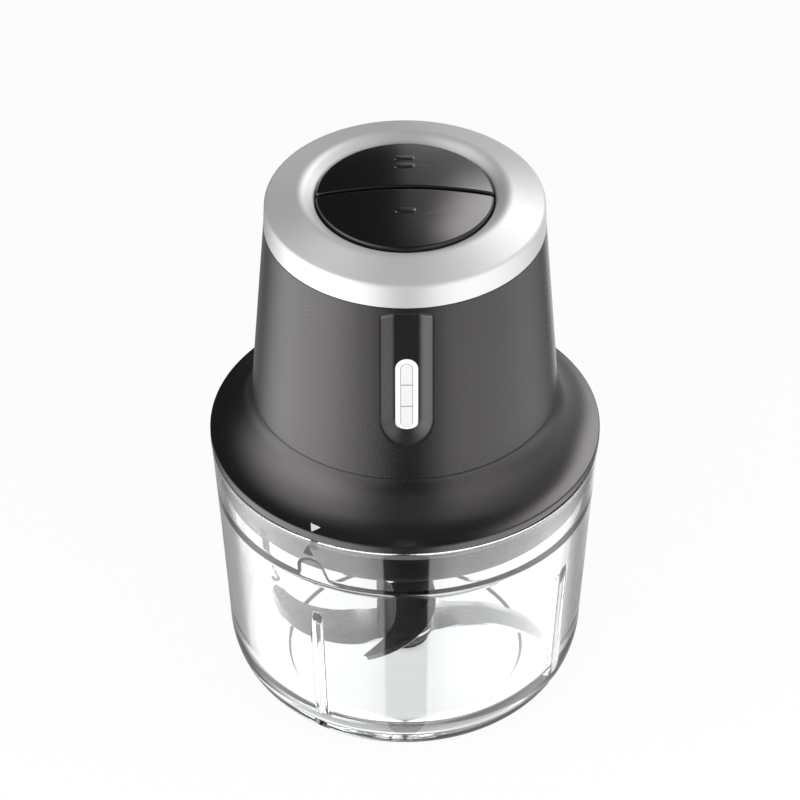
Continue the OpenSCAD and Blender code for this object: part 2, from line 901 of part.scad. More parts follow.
module chassis_plate() {
    color(black_c)
        difference() {
            union() {
                cylinder_at(plate_r, plate_z, can_z);
                around(3, 30, cell_orbit)
                    ring(cell_r + 1.8, cell_r + 0.2, can_z - 0.5, can_z + 6);
                around(3, pillar_a, pillar_orbit)
                    cylinder_at(3.4, can_z - 0.5, clamp_z);
            }
            cylinder_at(6.6, plate_z - 1, can_z + 1);
            around(3, post_a, post_orbit)
                cylinder_at(1.6, plate_z - 1, can_z + 1);
            around(3, pillar_a, pillar_orbit)
                cylinder_at(1.2, clamp_z - 8, clamp_z + 1);
        }
}

module screw(z, head_r, r, l) {
    translate([0, 0, z]) {
        difference() {
            cylinder(r = head_r, h = 2);
            translate([0, 0, 0.8])
                linear_extrude(height = 2)
                    for (a = [0, 90])
                        rotate([0, 0, a])
                            square([head_r * 1.1, 0.7], center = true);
        }
        translate([0, 0, -l])
            cylinder(r = r, h = l + 0.5);
    }
}

module chassis_screws() {
    color(steel_c)
        around(3, post_a, post_orbit)
            screw(can_z, 2.6, 1.35, 9);
}

module gear_case() {
    color(white_c)
        difference() {
            cylinder_at(case_r, carrier_z - 0.6, plate_z);
            cylinder_at(case_r - 3.2, carrier_z - 1, gear_z - 0.6);
            translate([0, 0, gear_z - 1])
                linear_extrude(height = gear_w + 4)
                    rotate([0, 0, 180 / ring_n])
                        polygon(gear_points(ring_n, tooth_ded, 0.65 * gear_m, -tooth_play / 2));
        }
}

module output_shaft() {
    color(steel_c) {
        cylinder_at(out_r, tub_z - 0.3, carrier_z + carrier_t - 0.6);
        translate([0, 0, socket_z + 0.8])
            linear_extrude(height = tub_z - socket_z - 0.8)
                intersection() {
                    circle(r = out_r);
                    square([4 * out_r, dog_w], center = true);
                }
    }
}

module output_bearing() {
    color(brass_c)
        ring(bearing_r, out_r + run_fit, bearing_z, bearing_z + bearing_h);
}

module shaft_seal() {
    color(rubber_c)
        ring(bearing_r - 1 - press_fit, out_r + run_fit, tub_z + 0.2, bearing_z);
}

module planet_carrier() {
    color(steel_c)
        difference() {
            union() {
                cylinder_at(carrier_r, carrier_z, carrier_z + carrier_t);
                around(3, 0, orbit_r)
                    cylinder_at(planet_pin_r, carrier_z + 0.5, gear_z + gear_w + 0.3);
            }
            cylinder_at(out_r + press_fit, carrier_z - 1, carrier_z + carrier_t - 0.6);
        }
}

module planet(a) {
    color(white_c)
        rotate([0, 0, a])
            translate([orbit_r, 0, gear_z])
                difference() {
                    rotate([0, 0, 180 / planet_n * ((planet_n + 1) % 2)])
                        linear_extrude(height = gear_w)
                            polygon(gear_points(planet_n, tooth_add, tooth_ded, tooth_play));
                    translate([0, 0, -1])
                        cylinder(r = planet_pin_r + run_fit, h = gear_w + 2);
                }
}

module planet_a() {
    planet(0);
}

module planet_b() {
    planet(120);
}

module planet_c() {
    planet(240);
}

module sun_pinion() {
    color(brass_c)
        difference() {
            translate([0, 0, gear_z])
                linear_extrude(height = gear_w)
                    polygon(gear_points(sun_n, tooth_add, tooth_ded, tooth_play));
            cylinder_at(shaft_r + press_fit, gear_z - 1, gear_z + gear_w + 1);
        }
}

// motor

module motor_shaft() {
    color(steel_c)
        cylinder_at(shaft_r, gear_z, can_top + 1.5);
}

module armature() {
    low = can_z + 9;
    high = can_top - 10;
    color(copper_c)
        difference() {
            cylinder_at(motor_r - 5, low, high);
            cylinder_at(shaft_r + press_fit, low - 1, high + 1);
            around(5, 36, motor_r - 7)
                translate([-3, -1.2, low - 1])
                    cube([8, 2.4, high - low + 2]);
        }
}

module motor_can() {
    color(steel_c)
        difference() {
            union() {
                cylinder_at(motor_r, can_z, can_top);
                cylinder_at(6.4, plate_z + 0.4, can_z + 0.5);
            }
            cylinder_at(motor_r - can_t, can_z + can_t, can_top + 1);
            cylinder_at(shaft_r + run_fit, plate_z - 1, can_z + 5);
        }
}

module motor_magnets() {
    low = can_z + 6;
    high = can_top - 7;
    color(black_c)
        for (a = [-65, 115])
            sector(motor_r - can_t - press_fit, motor_r - 4.6, low, high, a, a + 130);
}

module motor_cap() {
    color(black_c)
        difference() {
            union() {
                cylinder_at(motor_r, can_top, can_top + cap_t);
                for (x = [-10, 10])
                    translate([x - 0.4, -2.4, can_top + cap_t - 0.5])
                        cube([0.8, 4.8, 6]);
            }
            cylinder_at(shaft_r + run_fit, can_top - 1, can_top + cap_t - 1);
        }
}

module motor_leads() {
    color([0.6, 0.1, 0.1])
        for (x = [-10, 10])
            translate([x, 0, can_top + cap_t + 5.5])
                cylinder(r = 0.9, h = board_z - can_top - cap_t - 5.5);
}

// battery

module battery_cells() {
    color(cell_c)
        around(3, 30, cell_orbit) {
            cylinder_at(cell_r, cell_z, cell_top - 0.8);
            cylinder_at(3, cell_top - 1.2, cell_top);
        }
}

module battery_leads() {
    color([0.6, 0.1, 0.1])
        around(3, 30, cell_orbit)
            cylinder_at(0.9, cell_top, board_z);
}

module cell_clamp() {
    color(black_c)
        difference() {
            union() {
                cylinder_at(pillar_orbit + 4, clamp_z, clamp_z + clamp_t);
                around(3, 30, cell_orbit)
                    ring(cell_r + 1.8, cell_r + 0.2, cell_top - 6, clamp_z + 0.5);
                around(3, 30, 30)
                    translate([3.6, 0, 0])
                        cylinder_at(2.2, clamp_z + 1, board_z);
                ring(motor_r + 1.7, motor_r + 0.1, can_top - 4, clamp_z + 0.5);
            }
            cylinder_at(motor_r - 2, clamp_z - 1, clamp_z + clamp_t + 1);
            around(3, 30, cell_orbit)
                cylinder_at(1.4, clamp_z - 1, clamp_z + clamp_t + 1);
            around(3, pillar_a, pillar_orbit)
                cylinder_at(1.5, clamp_z - 1, clamp_z + clamp_t + 1);
            translate([-ribbon_w / 2 - 1, charge_y() - ribbon_t - 2.6, clamp_z - 1])
                cube([ribbon_w + 2, pillar_orbit, clamp_t + 2]);
            translate([-ribbon_w / 2 - 1, gauge_y() + ribbon_t + 1.2 - pillar_orbit, cell_top - 7])
                cube([ribbon_w + 2, pillar_orbit, clamp_t + 9]);
        }
}

module clamp_screws() {
    color(steel_c)
        around(3, pillar_a, pillar_orbit)
            screw(clamp_z + clamp_t, 2.2, 1.15, 9);
}

glass_bowl();
blade_pin();
blade_hub();
hub_bush();
lower_blade();
blade_spacer();
upper_blade();
hub_sleeve();
bowl_seal();
base_tub();
base_skirt();
housing_shell();
trim_ring();
button_deck();
front_button();
front_spring();
rear_button();
rear_spring();
control_board();
board_parts();
tact_switches();
gauge_frame();
gauge_lens();
led_board();
led_chips();
gauge_ribbon();
charge_socket();
charge_board();
charge_ribbon();
port_flap();
chassis_plate();
chassis_screws();
gear_case();
output_shaft();
output_bearing();
shaft_seal();
planet_carrier();
planet_a();
planet_b();
planet_c();
sun_pinion();
motor_shaft();
armature();
motor_can();
motor_magnets();
motor_cap();
motor_leads();
battery_cells();
battery_leads();
cell_clamp();
clamp_screws();
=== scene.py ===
"""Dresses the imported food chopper: smooth shells, ground blades, clear glass and soft studio light.

Sizes in the classes are millimetres in the CAD frame, and meshes are made in metres.
"""

import json
import logging
import math
from collections.abc import Callable, Sequence
from dataclasses import dataclass
from enum import Enum

import bmesh
import bpy
from mathutils import Matrix, Vector


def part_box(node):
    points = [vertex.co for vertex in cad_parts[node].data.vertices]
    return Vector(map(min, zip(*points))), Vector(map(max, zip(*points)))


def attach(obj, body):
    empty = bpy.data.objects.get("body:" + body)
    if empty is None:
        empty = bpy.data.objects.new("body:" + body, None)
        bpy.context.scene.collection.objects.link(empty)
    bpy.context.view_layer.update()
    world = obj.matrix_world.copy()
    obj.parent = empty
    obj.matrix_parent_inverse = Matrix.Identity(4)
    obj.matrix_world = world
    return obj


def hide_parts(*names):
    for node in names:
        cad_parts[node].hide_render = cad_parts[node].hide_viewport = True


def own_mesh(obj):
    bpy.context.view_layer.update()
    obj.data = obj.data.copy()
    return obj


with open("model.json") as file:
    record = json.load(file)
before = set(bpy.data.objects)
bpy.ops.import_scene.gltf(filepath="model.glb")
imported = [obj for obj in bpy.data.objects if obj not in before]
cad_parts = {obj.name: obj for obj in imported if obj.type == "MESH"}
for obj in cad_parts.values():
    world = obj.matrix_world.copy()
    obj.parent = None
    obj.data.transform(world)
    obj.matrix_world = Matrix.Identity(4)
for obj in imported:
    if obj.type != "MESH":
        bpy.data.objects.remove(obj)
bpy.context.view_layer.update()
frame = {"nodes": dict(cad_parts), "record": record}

LOG = logging.getLogger("chopper")
MM = 0.001

# The angle in degrees past which an edge is sharp, the distance in metres within which points merge, and
# the heights in millimetres of printed ink's two faces over its surface.
CREASE = 32.0
MERGE = 1e-7
INK_FACES = (0.05, -0.08)

# How much of a side an eased corner may take, and how far its holding points stand beyond its curve.
EASE_SHARE = 0.45
HOLD_SHARE = 0.49
HOLD_FACTOR = 1.3

# Sizes that several pieces share: the housing's wall from its seam up to the silver ring, the depth
# of its recess, and the heights of the skirt's rim and shoulder.
SEAM_R = 54.6
SEAM_Z = 125.2
TOP_R = 49.2
TOP_Z = 196.1
RECESS_D = 3.0
RIM_Z = 104.3
SHOULDER_Z = 106.8

Point = tuple[float, float]
Profile = list[Point]
Spot = tuple[float, float, float]
Colour = tuple[float, float, float]
Loops = list[list[Spot]]
Shape = tuple[list[Spot], list[tuple[int, ...]]]
Placing = Callable[[float, float, float], Spot]


class SocketKind(Enum):
    """Kinds of named input that a shape tree takes."""

    GEOMETRY = "NodeSocketGeometry"
    NUMBER = "NodeSocketFloat"
    COUNT = "NodeSocketInt"
    SHAPE = "NodeSocketObject"
    FINISH = "NodeSocketMaterial"


class Wire:
    """An output socket whose arithmetic adds Math nodes to its tree."""

    def __init__(self, tree: "Tree", socket: bpy.types.NodeSocket) -> None:
        """Keeps the tree and the socket."""
        self.tree = tree
        self.socket = socket

    def out(self, key: int | str) -> "Wire":
        """Another output of the same node."""
        return Wire(self.tree, self.socket.node.outputs[key])

    def __add__(self, other: "Wire | float") -> "Wire":
        """Sum."""
        return self.tree.maths("ADD", self, other)

    def __radd__(self, other: float) -> "Wire":
        """Sum with a number on the left."""
        return self.tree.maths("ADD", other, self)

    def __sub__(self, other: "Wire | float") -> "Wire":
        """Difference."""
        return self.tree.maths("SUBTRACT", self, other)

    def __rsub__(self, other: float) -> "Wire":
        """Difference with a number on the left."""
        return self.tree.maths("SUBTRACT", other, self)

    def __mul__(self, other: "Wire | float") -> "Wire":
        """Product."""
        return self.tree.maths("MULTIPLY", self, other)

    def __rmul__(self, other: float) -> "Wire":
        """Product with a number on the left."""
        return self.tree.maths("MULTIPLY", other, self)

    def __truediv__(self, other: "Wire | float") -> "Wire":
        """Quotient."""
        return self.tree.maths("DIVIDE", self, other)

    def __rtruediv__(self, other: float) -> "Wire":
        """Quotient with a number on the left."""
        return self.tree.maths("DIVIDE", other, self)


class Tree:
    """A node tree and the one method that adds nodes to it."""

    def __init__(self, tree: bpy.types.NodeTree) -> None:
        """Keeps Blender's tree."""
        self.tree = tree

    def add(
        self,
        kind: str,
        settings: dict[str, object] | None = None,
        inputs: dict[int | str, object] | None = None,
        output: int | str = 0,
    ) -> Wire | None:
        """Adds a node.

        Args:
            kind: Blender's node type.
            settings: Attributes of the node, set first.
            inputs: A value or a Wire for each input, by name or index.
            output: The output to hand back.

        Returns:
            The output as a Wire, or None for a node with no outputs.
        """
        node = self.tree.nodes.new(kind)
        for key, value in (settings or {}).items():
            setattr(node, key, value)
        for key, value in (inputs or {}).items():
            if isinstance(value, Wire):
                self.tree.links.new(value.socket, node.inputs[key])
            else:
                node.inputs[key].default_value = value
        return Wire(self, node.outputs[output]) if len(node.outputs) else None

    def maths(self, kind: str, *values: Wire | float) -> Wire:
        """A Math node on one to three values."""
        return self.add("ShaderNodeMath", {"operation": kind}, dict(enumerate(values)))

    def eased_step(self, value: Wire, low: Wire | float, high: Wire | float) -> Wire:
        """A smooth rise from 0 at low to 1 at high."""
        return self.add(
            "ShaderNodeMapRange",
            {"interpolation_type": "SMOOTHSTEP"},
            {0: value, 1: low, 2: high, 3: 0.0, 4: 1.0},
        )

    def blend(self, first: Wire | float, second: Wire | float, share: Wire) -> Wire:
        """A number that goes from first to second as share goes from 0 to 1."""
        return first * (1.0 - share) + second * share

    def mix(self, share: Wire | float, first: Colour | Wire, second: Colour | Wire) -> Wire:
        """Mixes two colours by a share from 0 to 1."""
        ends = [c if isinstance(c, Wire) else (*c, 1.0) for c in (first, second)]
        return self.add(
            "ShaderNodeMix", {"data_type": "RGBA"}, {0: share, 6: ends[0], 7: ends[1]}, output=2
        )


class FinishTree(Tree):
    """A material's tree, with the textures that the finishes share."""

    def __init__(self, name: str) -> None:
        """Makes an empty material.

        Args:
            name: Name of the material.
        """
        self.material = bpy.data.materials.new(name)
        self.material.use_nodes = True
        super().__init__(self.material.node_tree)
        self.tree.nodes.clear()
        self.place = self.add("ShaderNodeTexCoord", output="Object")

    def noise(self, size: float, detail: float = 2.0, stretch: Spot = (1.0, 1.0, 1.0)) -> Wire:
        """Noise on Object coordinates.

        Args:
            size: Size of its features in millimetres.
            detail: Octaves of finer noise.
            stretch: Factors on the coordinates, for a directed grain.

        Returns:
            The noise, about 0 to 1.
        """
        where = self.place
        if stretch != (1.0, 1.0, 1.0):
            where = self.add("ShaderNodeMapping", inputs={"Vector": where, "Scale": stretch})
        return self.add(
            "ShaderNodeTexNoise",
            inputs={"Vector": where, "Scale": 1.0 / (size * MM), "Detail": detail},
        )

    def shaded(self, share: Wire, colour: Colour, low: float, high: float) -> Wire:
        """A colour that goes from one factor of itself to another by a share from 0 to 1."""
        return self.mix(share, tint(colour, low), tint(colour, high))

    def bump(self, height: Wire, depth: float, strength: float = 0.5) -> Wire:
        """A bumped normal from a height that spans depth millimetres."""
        return self.add(
            "ShaderNodeBump", inputs={"Strength": strength, "Distance": depth * MM, "Height": height}
        )

    def surface(self, inputs: dict[str, object], body: Wire | None = None) -> bpy.types.Material:
        """Ends the tree in a Principled shader.

        Args:
            inputs: Values and links of the shader's sockets.
            body: The shader of the space inside, where it has one.

        Returns:
            The finished material.
        """
        ends = {"Surface": self.add("ShaderNodeBsdfPrincipled", inputs=inputs)}
        if body:
            ends["Volume"] = body
        self.add("ShaderNodeOutputMaterial", inputs=ends)
        return self.material


class ShapeTree(Tree):
    """A Geometry Nodes tree with named inputs that ends in Realize Instances and Set Material."""

    def __init__(self, name: str, sizes: dict[str, SocketKind]) -> None:
        """Makes the tree.

        Args:
            name: Name of the tree.
            sizes: Kind of each named input, besides the geometry and the finish.
        """
        group = bpy.data.node_groups.new(name, "GeometryNodeTree")
        super().__init__(group)
        kinds = {"Geometry": SocketKind.GEOMETRY, **sizes, "Finish": SocketKind.FINISH}
        self.keys = {
            label: group.interface.new_socket(
                label, in_out="INPUT", socket_type=kind.value
            ).identifier
            for label, kind in kinds.items()
        }
        group.interface.new_socket(
            "Geometry", in_out="OUTPUT", socket_type=SocketKind.GEOMETRY.value
        )
        self.source = group.nodes.new("NodeGroupInput")

    def size(self, label: str) -> Wire:
        """The Wire of a named input."""
        return Wire(self, self.source.outputs[label])

    def close(self, geometry: Wire) -> None:
        """Realizes the instances, sets the finish and ends the tree.

        Args:
            geometry: What the tree has made.
        """
        real = self.add("GeometryNodeRealizeInstances", inputs={"Geometry": geometry})
        dressed = self.add(
            "GeometryNodeSetMaterial", inputs={"Geometry": real, "Material": self.size("Finish")}
        )
        self.add("NodeGroupOutput", inputs={"Geometry": dressed})

    def run(self, item: bpy.types.Object, values: dict[str, object]) -> None:
        """Turns an object's mesh into the tree's result.

        Args:
            item: The object, whose mesh is the tree's geometry.
            values: A value for each named input.
        """
        modifier = item.modifiers.new(self.tree.name, "NODES")
        modifier.node_group = self.tree
        for label, value in values.items():
            modifier[self.keys[label]] = value
        take_result(item, modifier)


def take_result(item: bpy.types.Object, modifier: bpy.types.Modifier) -> None:
    """Turns an object's mesh into what a modifier makes of it.

    Args:
        item: The object.
        modifier: The modifier, which is removed.
    """
    graph = bpy.context.evaluated_depsgraph_get()
    made = bpy.data.meshes.new_from_object(item.evaluated_get(graph), depsgraph=graph)
    item.modifiers.remove(modifier)
    item.data = made


def tint(colour: Colour, factor: float) -> Colour:
    """A colour made lighter or darker by a factor."""
    return tuple(min(1.0, c * factor) for c in colour)


@dataclass(frozen=True)
class MouldedPlastic:
    """Moulded plastic with a fine spark-eroded grain."""

    name: str
    colour: Colour
    roughness: float
    grain: float = 0.4
    depth: float = 0.006
    specular: float = 0.5
    mottle: float = 0.1
    reflected: Colour = (1.0, 0.94, 0.98)
    cloud: float = 38.0

    def make(self) -> bpy.types.Material:
        """Builds the material.

        Returns:
            The finished material.
        """
        tree = FinishTree(self.name)
        cloud = tree.noise(self.cloud)
        grain = tree.noise(self.grain, 3.0)
        return tree.surface(
            {
                "Base Color": tree.shaded(cloud, self.colour, 1 - self.mottle, 1 + self.mottle),
                "Roughness": self.roughness + (grain - 0.5) * 0.1 + (cloud - 0.5) * 0.08,
                "Specular IOR Level": self.specular,
                "Specular Tint": (*self.reflected, 1.0),
                "Normal": tree.bump(grain, self.depth),
            }
        )


@dataclass(frozen=True)
class SilverPaint:
    """Satin silver lacquer with fine metal flakes over spun lines about the axis."""

    name: str
    colour: Colour
    roughness: float
    metallic: float
    spun: float = 0.8
    flake: float = 0.22
    cloud: float = 30.0

    def make(self) -> bpy.types.Material:
        """Builds the material.

        Returns:
            The finished material.
        """
        tree = FinishTree(self.name)
        cloud = tree.noise(self.cloud)
        flake = tree.noise(self.flake, 2.0)
        share = 0.35 * cloud + 0.65 * flake
        return tree.surface(
            {
                "Base Color": tree.shaded(share, self.colour, 0.94, 1.06),
                "Metallic": self.metallic,
                "Roughness": self.roughness + (flake - 0.5) * 0.12,
                "Anisotropic": self.spun,
                "Anisotropic Rotation": 0.25,
                "Normal": tree.bump(flake, 0.004, 0.3),
            }
        )


@dataclass(frozen=True)
class ClearGlass:
    """Pressed clear glass with a faint wave in its faces and a little grey in its depth."""

    name: str
    colour: Colour
    wave: float = 26.0
    smear: float = 14.0
    depth_tint: Colour = (0.88, 0.9, 0.89)
    density: float = 36.0

    def make(self) -> bpy.types.Material:
        """Builds the material.

        Returns:
            The finished material.
        """
        tree = FinishTree(self.name)
        wave = tree.noise(self.wave, 1.0)
        smear = tree.noise(self.smear, 4.0)
        depth = tree.add(
            "ShaderNodeVolumeAbsorption",
            inputs={"Color": (*self.depth_tint, 1.0), "Density": self.density},
        )
        return tree.surface(
            {
                "Base Color": tree.shaded(wave, self.colour, 0.995, 1.0),
                "Roughness": smear * 0.02,
                "IOR": 1.5,
                "Transmission Weight": 1.0,
                "Normal": tree.bump(wave, 0.12, 0.35),
            },
            depth,
        )


@dataclass(frozen=True)
class GroundMetal:
    """Metal with grinding lines in one direction."""

    name: str
    colour: Colour
    roughness: float
    stretch: Spot = (6.0, 90.0, 90.0)
    line: float = 12.0
    cloud: float = 9.0

    def make(self) -> bpy.types.Material:
        """Builds the material.

        Returns:
            The finished material.
        """
        tree = FinishTree(self.name)
        lines = tree.noise(self.line, 4.0, self.stretch)
        cloud = tree.noise(self.cloud)
        return tree.surface(
            {
                "Base Color": tree.shaded(lines, self.colour, 0.88, 1.05),
                "Metallic": 1.0,
                "Roughness": self.roughness + (lines - 0.5) * 0.2 + (cloud - 0.5) * 0.06,
                "Normal": tree.bump(lines, 0.006, 0.4),
            }
        )


@dataclass(frozen=True)
class SoftRubber:
    """Matt silicone or rubber with a dusty bloom."""

    name: str
    colour: Colour
    roughness: float = 0.6
    bloom: float = 5.0
    grain: float = 0.3

    def make(self) -> bpy.types.Material:
        """Builds the material.

        Returns:
            The finished material.
        """
        tree = FinishTree(self.name)
        bloom = tree.noise(self.bloom, 5.0)
        grain = tree.noise(self.grain)
        return tree.surface(
            {
                "Base Color": tree.shaded(bloom, self.colour, 0.9, 1.12),
                "Roughness": self.roughness + (bloom - 0.5) * 0.15,
                "Normal": tree.bump(grain, 0.008),
            }
        )


@dataclass(frozen=True)
class LitPlastic:
    """White diffusing plastic lit from behind, its glow darker down its sides as painted shade that
    draws the gaps between parts.
    """

    name: str
    colour: Colour
    glow: float
    facing: Spot
    level: float
    unlit: float = 0.25
    cloud: float = 6.0

    def make(self) -> bpy.types.Material:
        """Builds the material.

        Returns:
            The finished material.
        """
        tree = FinishTree(self.name)
        cloud = tree.noise(self.cloud)
        height = tree.add(
            "ShaderNodeVectorMath",
            {"operation": "DOT_PRODUCT"},
            {0: tree.place, 1: self.facing},
            output="Value",
        )
        # The glow falls to 0.7 of the colour below the top face: painted shade that draws dark lines at
        # the gaps between the rim and the lens segments.
        face = tree.eased_step(height, (self.level - 0.3) * MM, (self.level - 0.08) * MM)
        light = tree.shaded(cloud, self.colour, 0.97, 1.0)
        return tree.surface(
            {
                "Base Color": (self.unlit, self.unlit, self.unlit, 1.0),
                "Roughness": 0.35 + (cloud - 0.5) * 0.1,
                "Emission Color": tree.mix(face, tint(self.colour, 0.7), light),
                "Emission Strength": self.glow,
            }
        )


@dataclass(frozen=True)
class PrintedInk:
    """Pad-printed ink with a slightly uneven film."""

    name: str
    colour: Colour
    film: float = 0.6

    def make(self) -> bpy.types.Material:
        """Builds the material.

        Returns:
            The finished material.
        """
        tree = FinishTree(self.name)
        film = tree.noise(self.film, 3.0)
        return tree.surface(
            {
                "Base Color": tree.shaded(film, self.colour, 0.9, 1.05),
                "Roughness": 0.45 + (film - 0.5) * 0.2,
            }
        )


@dataclass(frozen=True)
class StripedStock:
    """Stock with regular bands, such as board tracks, flat leads, windings and laminations."""

    name: str
    colour: Colour
    band: Colour
    pitch: float
    roughness: float
    metallic: float = 0.0
    direction: str = "X"
    cloud: float = 8.0

    def make(self) -> bpy.types.Material:
        """Builds the material.

        Returns:
            The finished material.
        """
        tree = FinishTree(self.name)
        bands = tree.add(
            "ShaderNodeTexWave",
            {"bands_direction": self.direction},
            {
                "Vector": tree.place,
                "Scale": 0.314 / (self.pitch * MM),
                "Distortion": 1.5,
                "Detail": 1.0,
            },
            output="Fac",
        )
        mask = tree.eased_step(bands, 0.55, 0.7)
        cloud = tree.noise(self.cloud)
        return tree.surface(
            {
                "Base Color": tree.mix(mask, self.colour, self.band),
                "Metallic": self.metallic,
                "Roughness": self.roughness + (cloud - 0.5) * 0.15,
                "Normal": tree.bump(mask, 0.03, 0.3),
            }
        )


# The lean of the housing's front, the way it faces, and how far along that the recess's floor lies.
WALL_LEAN = math.atan((SEAM_R - TOP_R) / (TOP_Z - SEAM_Z))
WALL_FACING = (0.0, -math.cos(WALL_LEAN), math.sin(WALL_LEAN))
WALL_LEVEL = SEAM_R * math.cos(WALL_LEAN) + SEAM_Z * math.sin(WALL_LEAN) - RECESS_D


class Finish(Enum):
    """Every finish on the chopper, by what it is put on."""

    GLASS = ClearGlass("clear_glass", (0.985, 0.995, 0.99))
    SHELL = MouldedPlastic("anthracite_shell", (0.0065, 0.006, 0.0066), 0.27, 0.3, 0.0018, 0.9)
    BUTTON = MouldedPlastic("black_button", (0.005, 0.0048, 0.0052), 0.17, 0.7, 0.01, 1.0)
    DASH = MouldedPlastic("black_dash", (0.008, 0.008, 0.0085), 0.14, 0.7, 0.004, 1.0)
    COLLAR = MouldedPlastic("black_collar", (0.009, 0.009, 0.0095), 0.3, 0.3, 0.0018)
    HUB = MouldedPlastic("black_hub", (0.012, 0.012, 0.013), 0.3, 0.3, 0.0018)
    SILVER = SilverPaint("satin_silver", (0.67, 0.668, 0.667), 0.45, 0.6, 0.78)
    STEEL = GroundMetal("ground_steel", (0.66, 0.66, 0.67), 0.3)
    SEAL = SoftRubber("silicone_seal", (0.42, 0.42, 0.4))
    FLAP = SoftRubber("rubber_flap", (0.018, 0.018, 0.019), 0.55)
    RIM = LitPlastic("lit_rim", (1.0, 1.0, 1.0), 0.70, WALL_FACING, WALL_LEVEL + 0.3)
    LENS = LitPlastic("lit_lens", (0.98, 0.97, 0.98), 0.57, WALL_FACING, WALL_LEVEL + 0.5)
    PALE_MARK = PrintedInk("pale_mark", (0.62, 0.61, 0.6))
    DARK_MARK = PrintedInk("dark_mark", (0.022, 0.022, 0.025))
    BEARING = GroundMetal("bearing_bronze", (0.6, 0.42, 0.2), 0.34)
    GEARS = MouldedPlastic("gear_plastic", (0.75, 0.75, 0.7), 0.4, 0.6)
    BOARD = StripedStock("board_tracks", (0.03, 0.13, 0.06), (0.05, 0.2, 0.09), 1.3, 0.35)
    FLEX = StripedStock("flat_lead", (0.42, 0.24, 0.06), (0.5, 0.31, 0.1), 0.8, 0.35)
    LEAD = SoftRubber("lead_sleeve", (0.34, 0.03, 0.03), 0.45)
    MAGNET = MouldedPlastic("ferrite", (0.05, 0.05, 0.052), 0.5, 0.3)
    WINDING = StripedStock(
        "armature_laminations", (0.45, 0.22, 0.1), (0.56, 0.3, 0.15), 0.6, 0.35, 0.9, "Z"
    )
    WRAP = MouldedPlastic("cell_wrap", (0.05, 0.12, 0.3), 0.3, 2.0)

    def material(self) -> bpy.types.Material:
        """The material of this finish, made once."""
        made = bpy.data.materials.get(self.value.name)
        return made or self.value.make()


SLOT_FINISH: dict[str, Finish] = {
    "glass": Finish.GLASS,
    "steel": Finish.STEEL,
    "silver": Finish.SILVER,
    "anthracite": Finish.SHELL,
    "black": Finish.COLLAR,
    "seal": Finish.SEAL,
    "flap": Finish.FLAP,
    "bearing": Finish.BEARING,
    "gears": Finish.GEARS,
    "lens": Finish.LENS,
    "board": Finish.BOARD,
    "flex": Finish.FLEX,
    "lead": Finish.LEAD,
    "magnet": Finish.MAGNET,
    "armature": Finish.WINDING,
    "cell": Finish.WRAP,
}


def polar(radius: float, angle: float) -> Point:
    """The point at a radius and an angle in degrees."""
    a = math.radians(angle)
    return radius * math.cos(a), radius * math.sin(a)


def spread(start: float, end: float, steps: int) -> list[float]:
    """Evenly spaced numbers from start to end, both included."""
    return [start + (end - start) * i / steps for i in range(steps + 1)]


def apart(first: float, second: float) -> float:
    """Degrees between two bearings, 0 to 180."""
    return abs((first - second + 180) % 360 - 180)


def arc(centre: Point, radii: Point, start: float, end: float, steps: int = 10) -> Profile:
    """Points along an elliptical arc, from one angle in degrees to another."""
    return [
        (centre[0] + radii[0] * polar(1, a)[0], centre[1] + radii[1] * polar(1, a)[1])
        for a in spread(start, end, steps)
    ]


def bend(first: Vector, corner: Vector, last: Vector, steps: int) -> list[Vector]:
    """Points along a curve from first to last that is drawn towards a corner."""
    shares = spread(0.0, 1.0, steps)
    return [first * (1 - t) ** 2 + corner * 2 * t * (1 - t) + last * t * t for t in shares]


def eased(corners: Sequence[Spot], steps: int = 5) -> Profile:
    """Rounds the corners of an open line.

    Args:
        corners: Radius, height and easing distance of each corner.
        steps: Segments in each rounded corner.

    Returns:
        The line with a curve at each eased corner, and a holding point on each side of it.
    """
    line: Profile = []
    for i, (r, z, ease) in enumerate(corners):
        if not ease or i in (0, len(corners) - 1):
            line.append((r, z))
            continue
        here = Vector((r, z))
        sides = [Vector(corners[k][:2]) - here for k in (i - 1, i + 1)]
        reach = [min(ease, EASE_SHARE * s.length) for s in sides]
        hold = [min(HOLD_FACTOR * d, HOLD_SHARE * s.length) for s, d in zip(sides, reach)]
        before, after = (here + s.normalized() * d for s, d in zip(sides, reach))
        outer = [here + s.normalized() * d for s, d in zip(sides, hold)]
        curve = [outer[0], *bend(before, here, after, steps), outer[1]]
        line += [tuple(p) for p in curve]
    return line


def spaced(line: Profile, step: float) -> Profile:
    """Adds points to a line.

    Args:
        line: Radius and height of each point.
        step: The length that no segment may pass.

    Returns:
        The line with points at even distances in its long segments.
    """
    made = [line[0]]
    for (r0, z0), (r1, z1) in zip(line, line[1:]):
        parts = max(1, math.ceil(math.hypot(r1 - r0, z1 - z0) / step))
        made += [(r0 + (r1 - r0) * t, z0 + (z1 - z0) * t) for t in spread(0, 1, parts)[1:]]
    return made


def round_angles(count: int, *spans: tuple[float, float, int]) -> list[float]:
    """Angles once round the axis, finer in some spans.

    Args:
        count: Even steps in a whole turn.
        spans: Centre, half width in degrees and steps of each finer span.

    Returns:
        Angles in degrees, from 0 up to 360.
    """
    angles = {360.0 * i / count for i in range(count)}
    for centre, half, steps in spans:
        angles = {a for a in angles if apart(a, centre) > half}
        angles |= {a % 360 for a in spread(centre - half, centre + half, steps)}
    return sorted(angles)


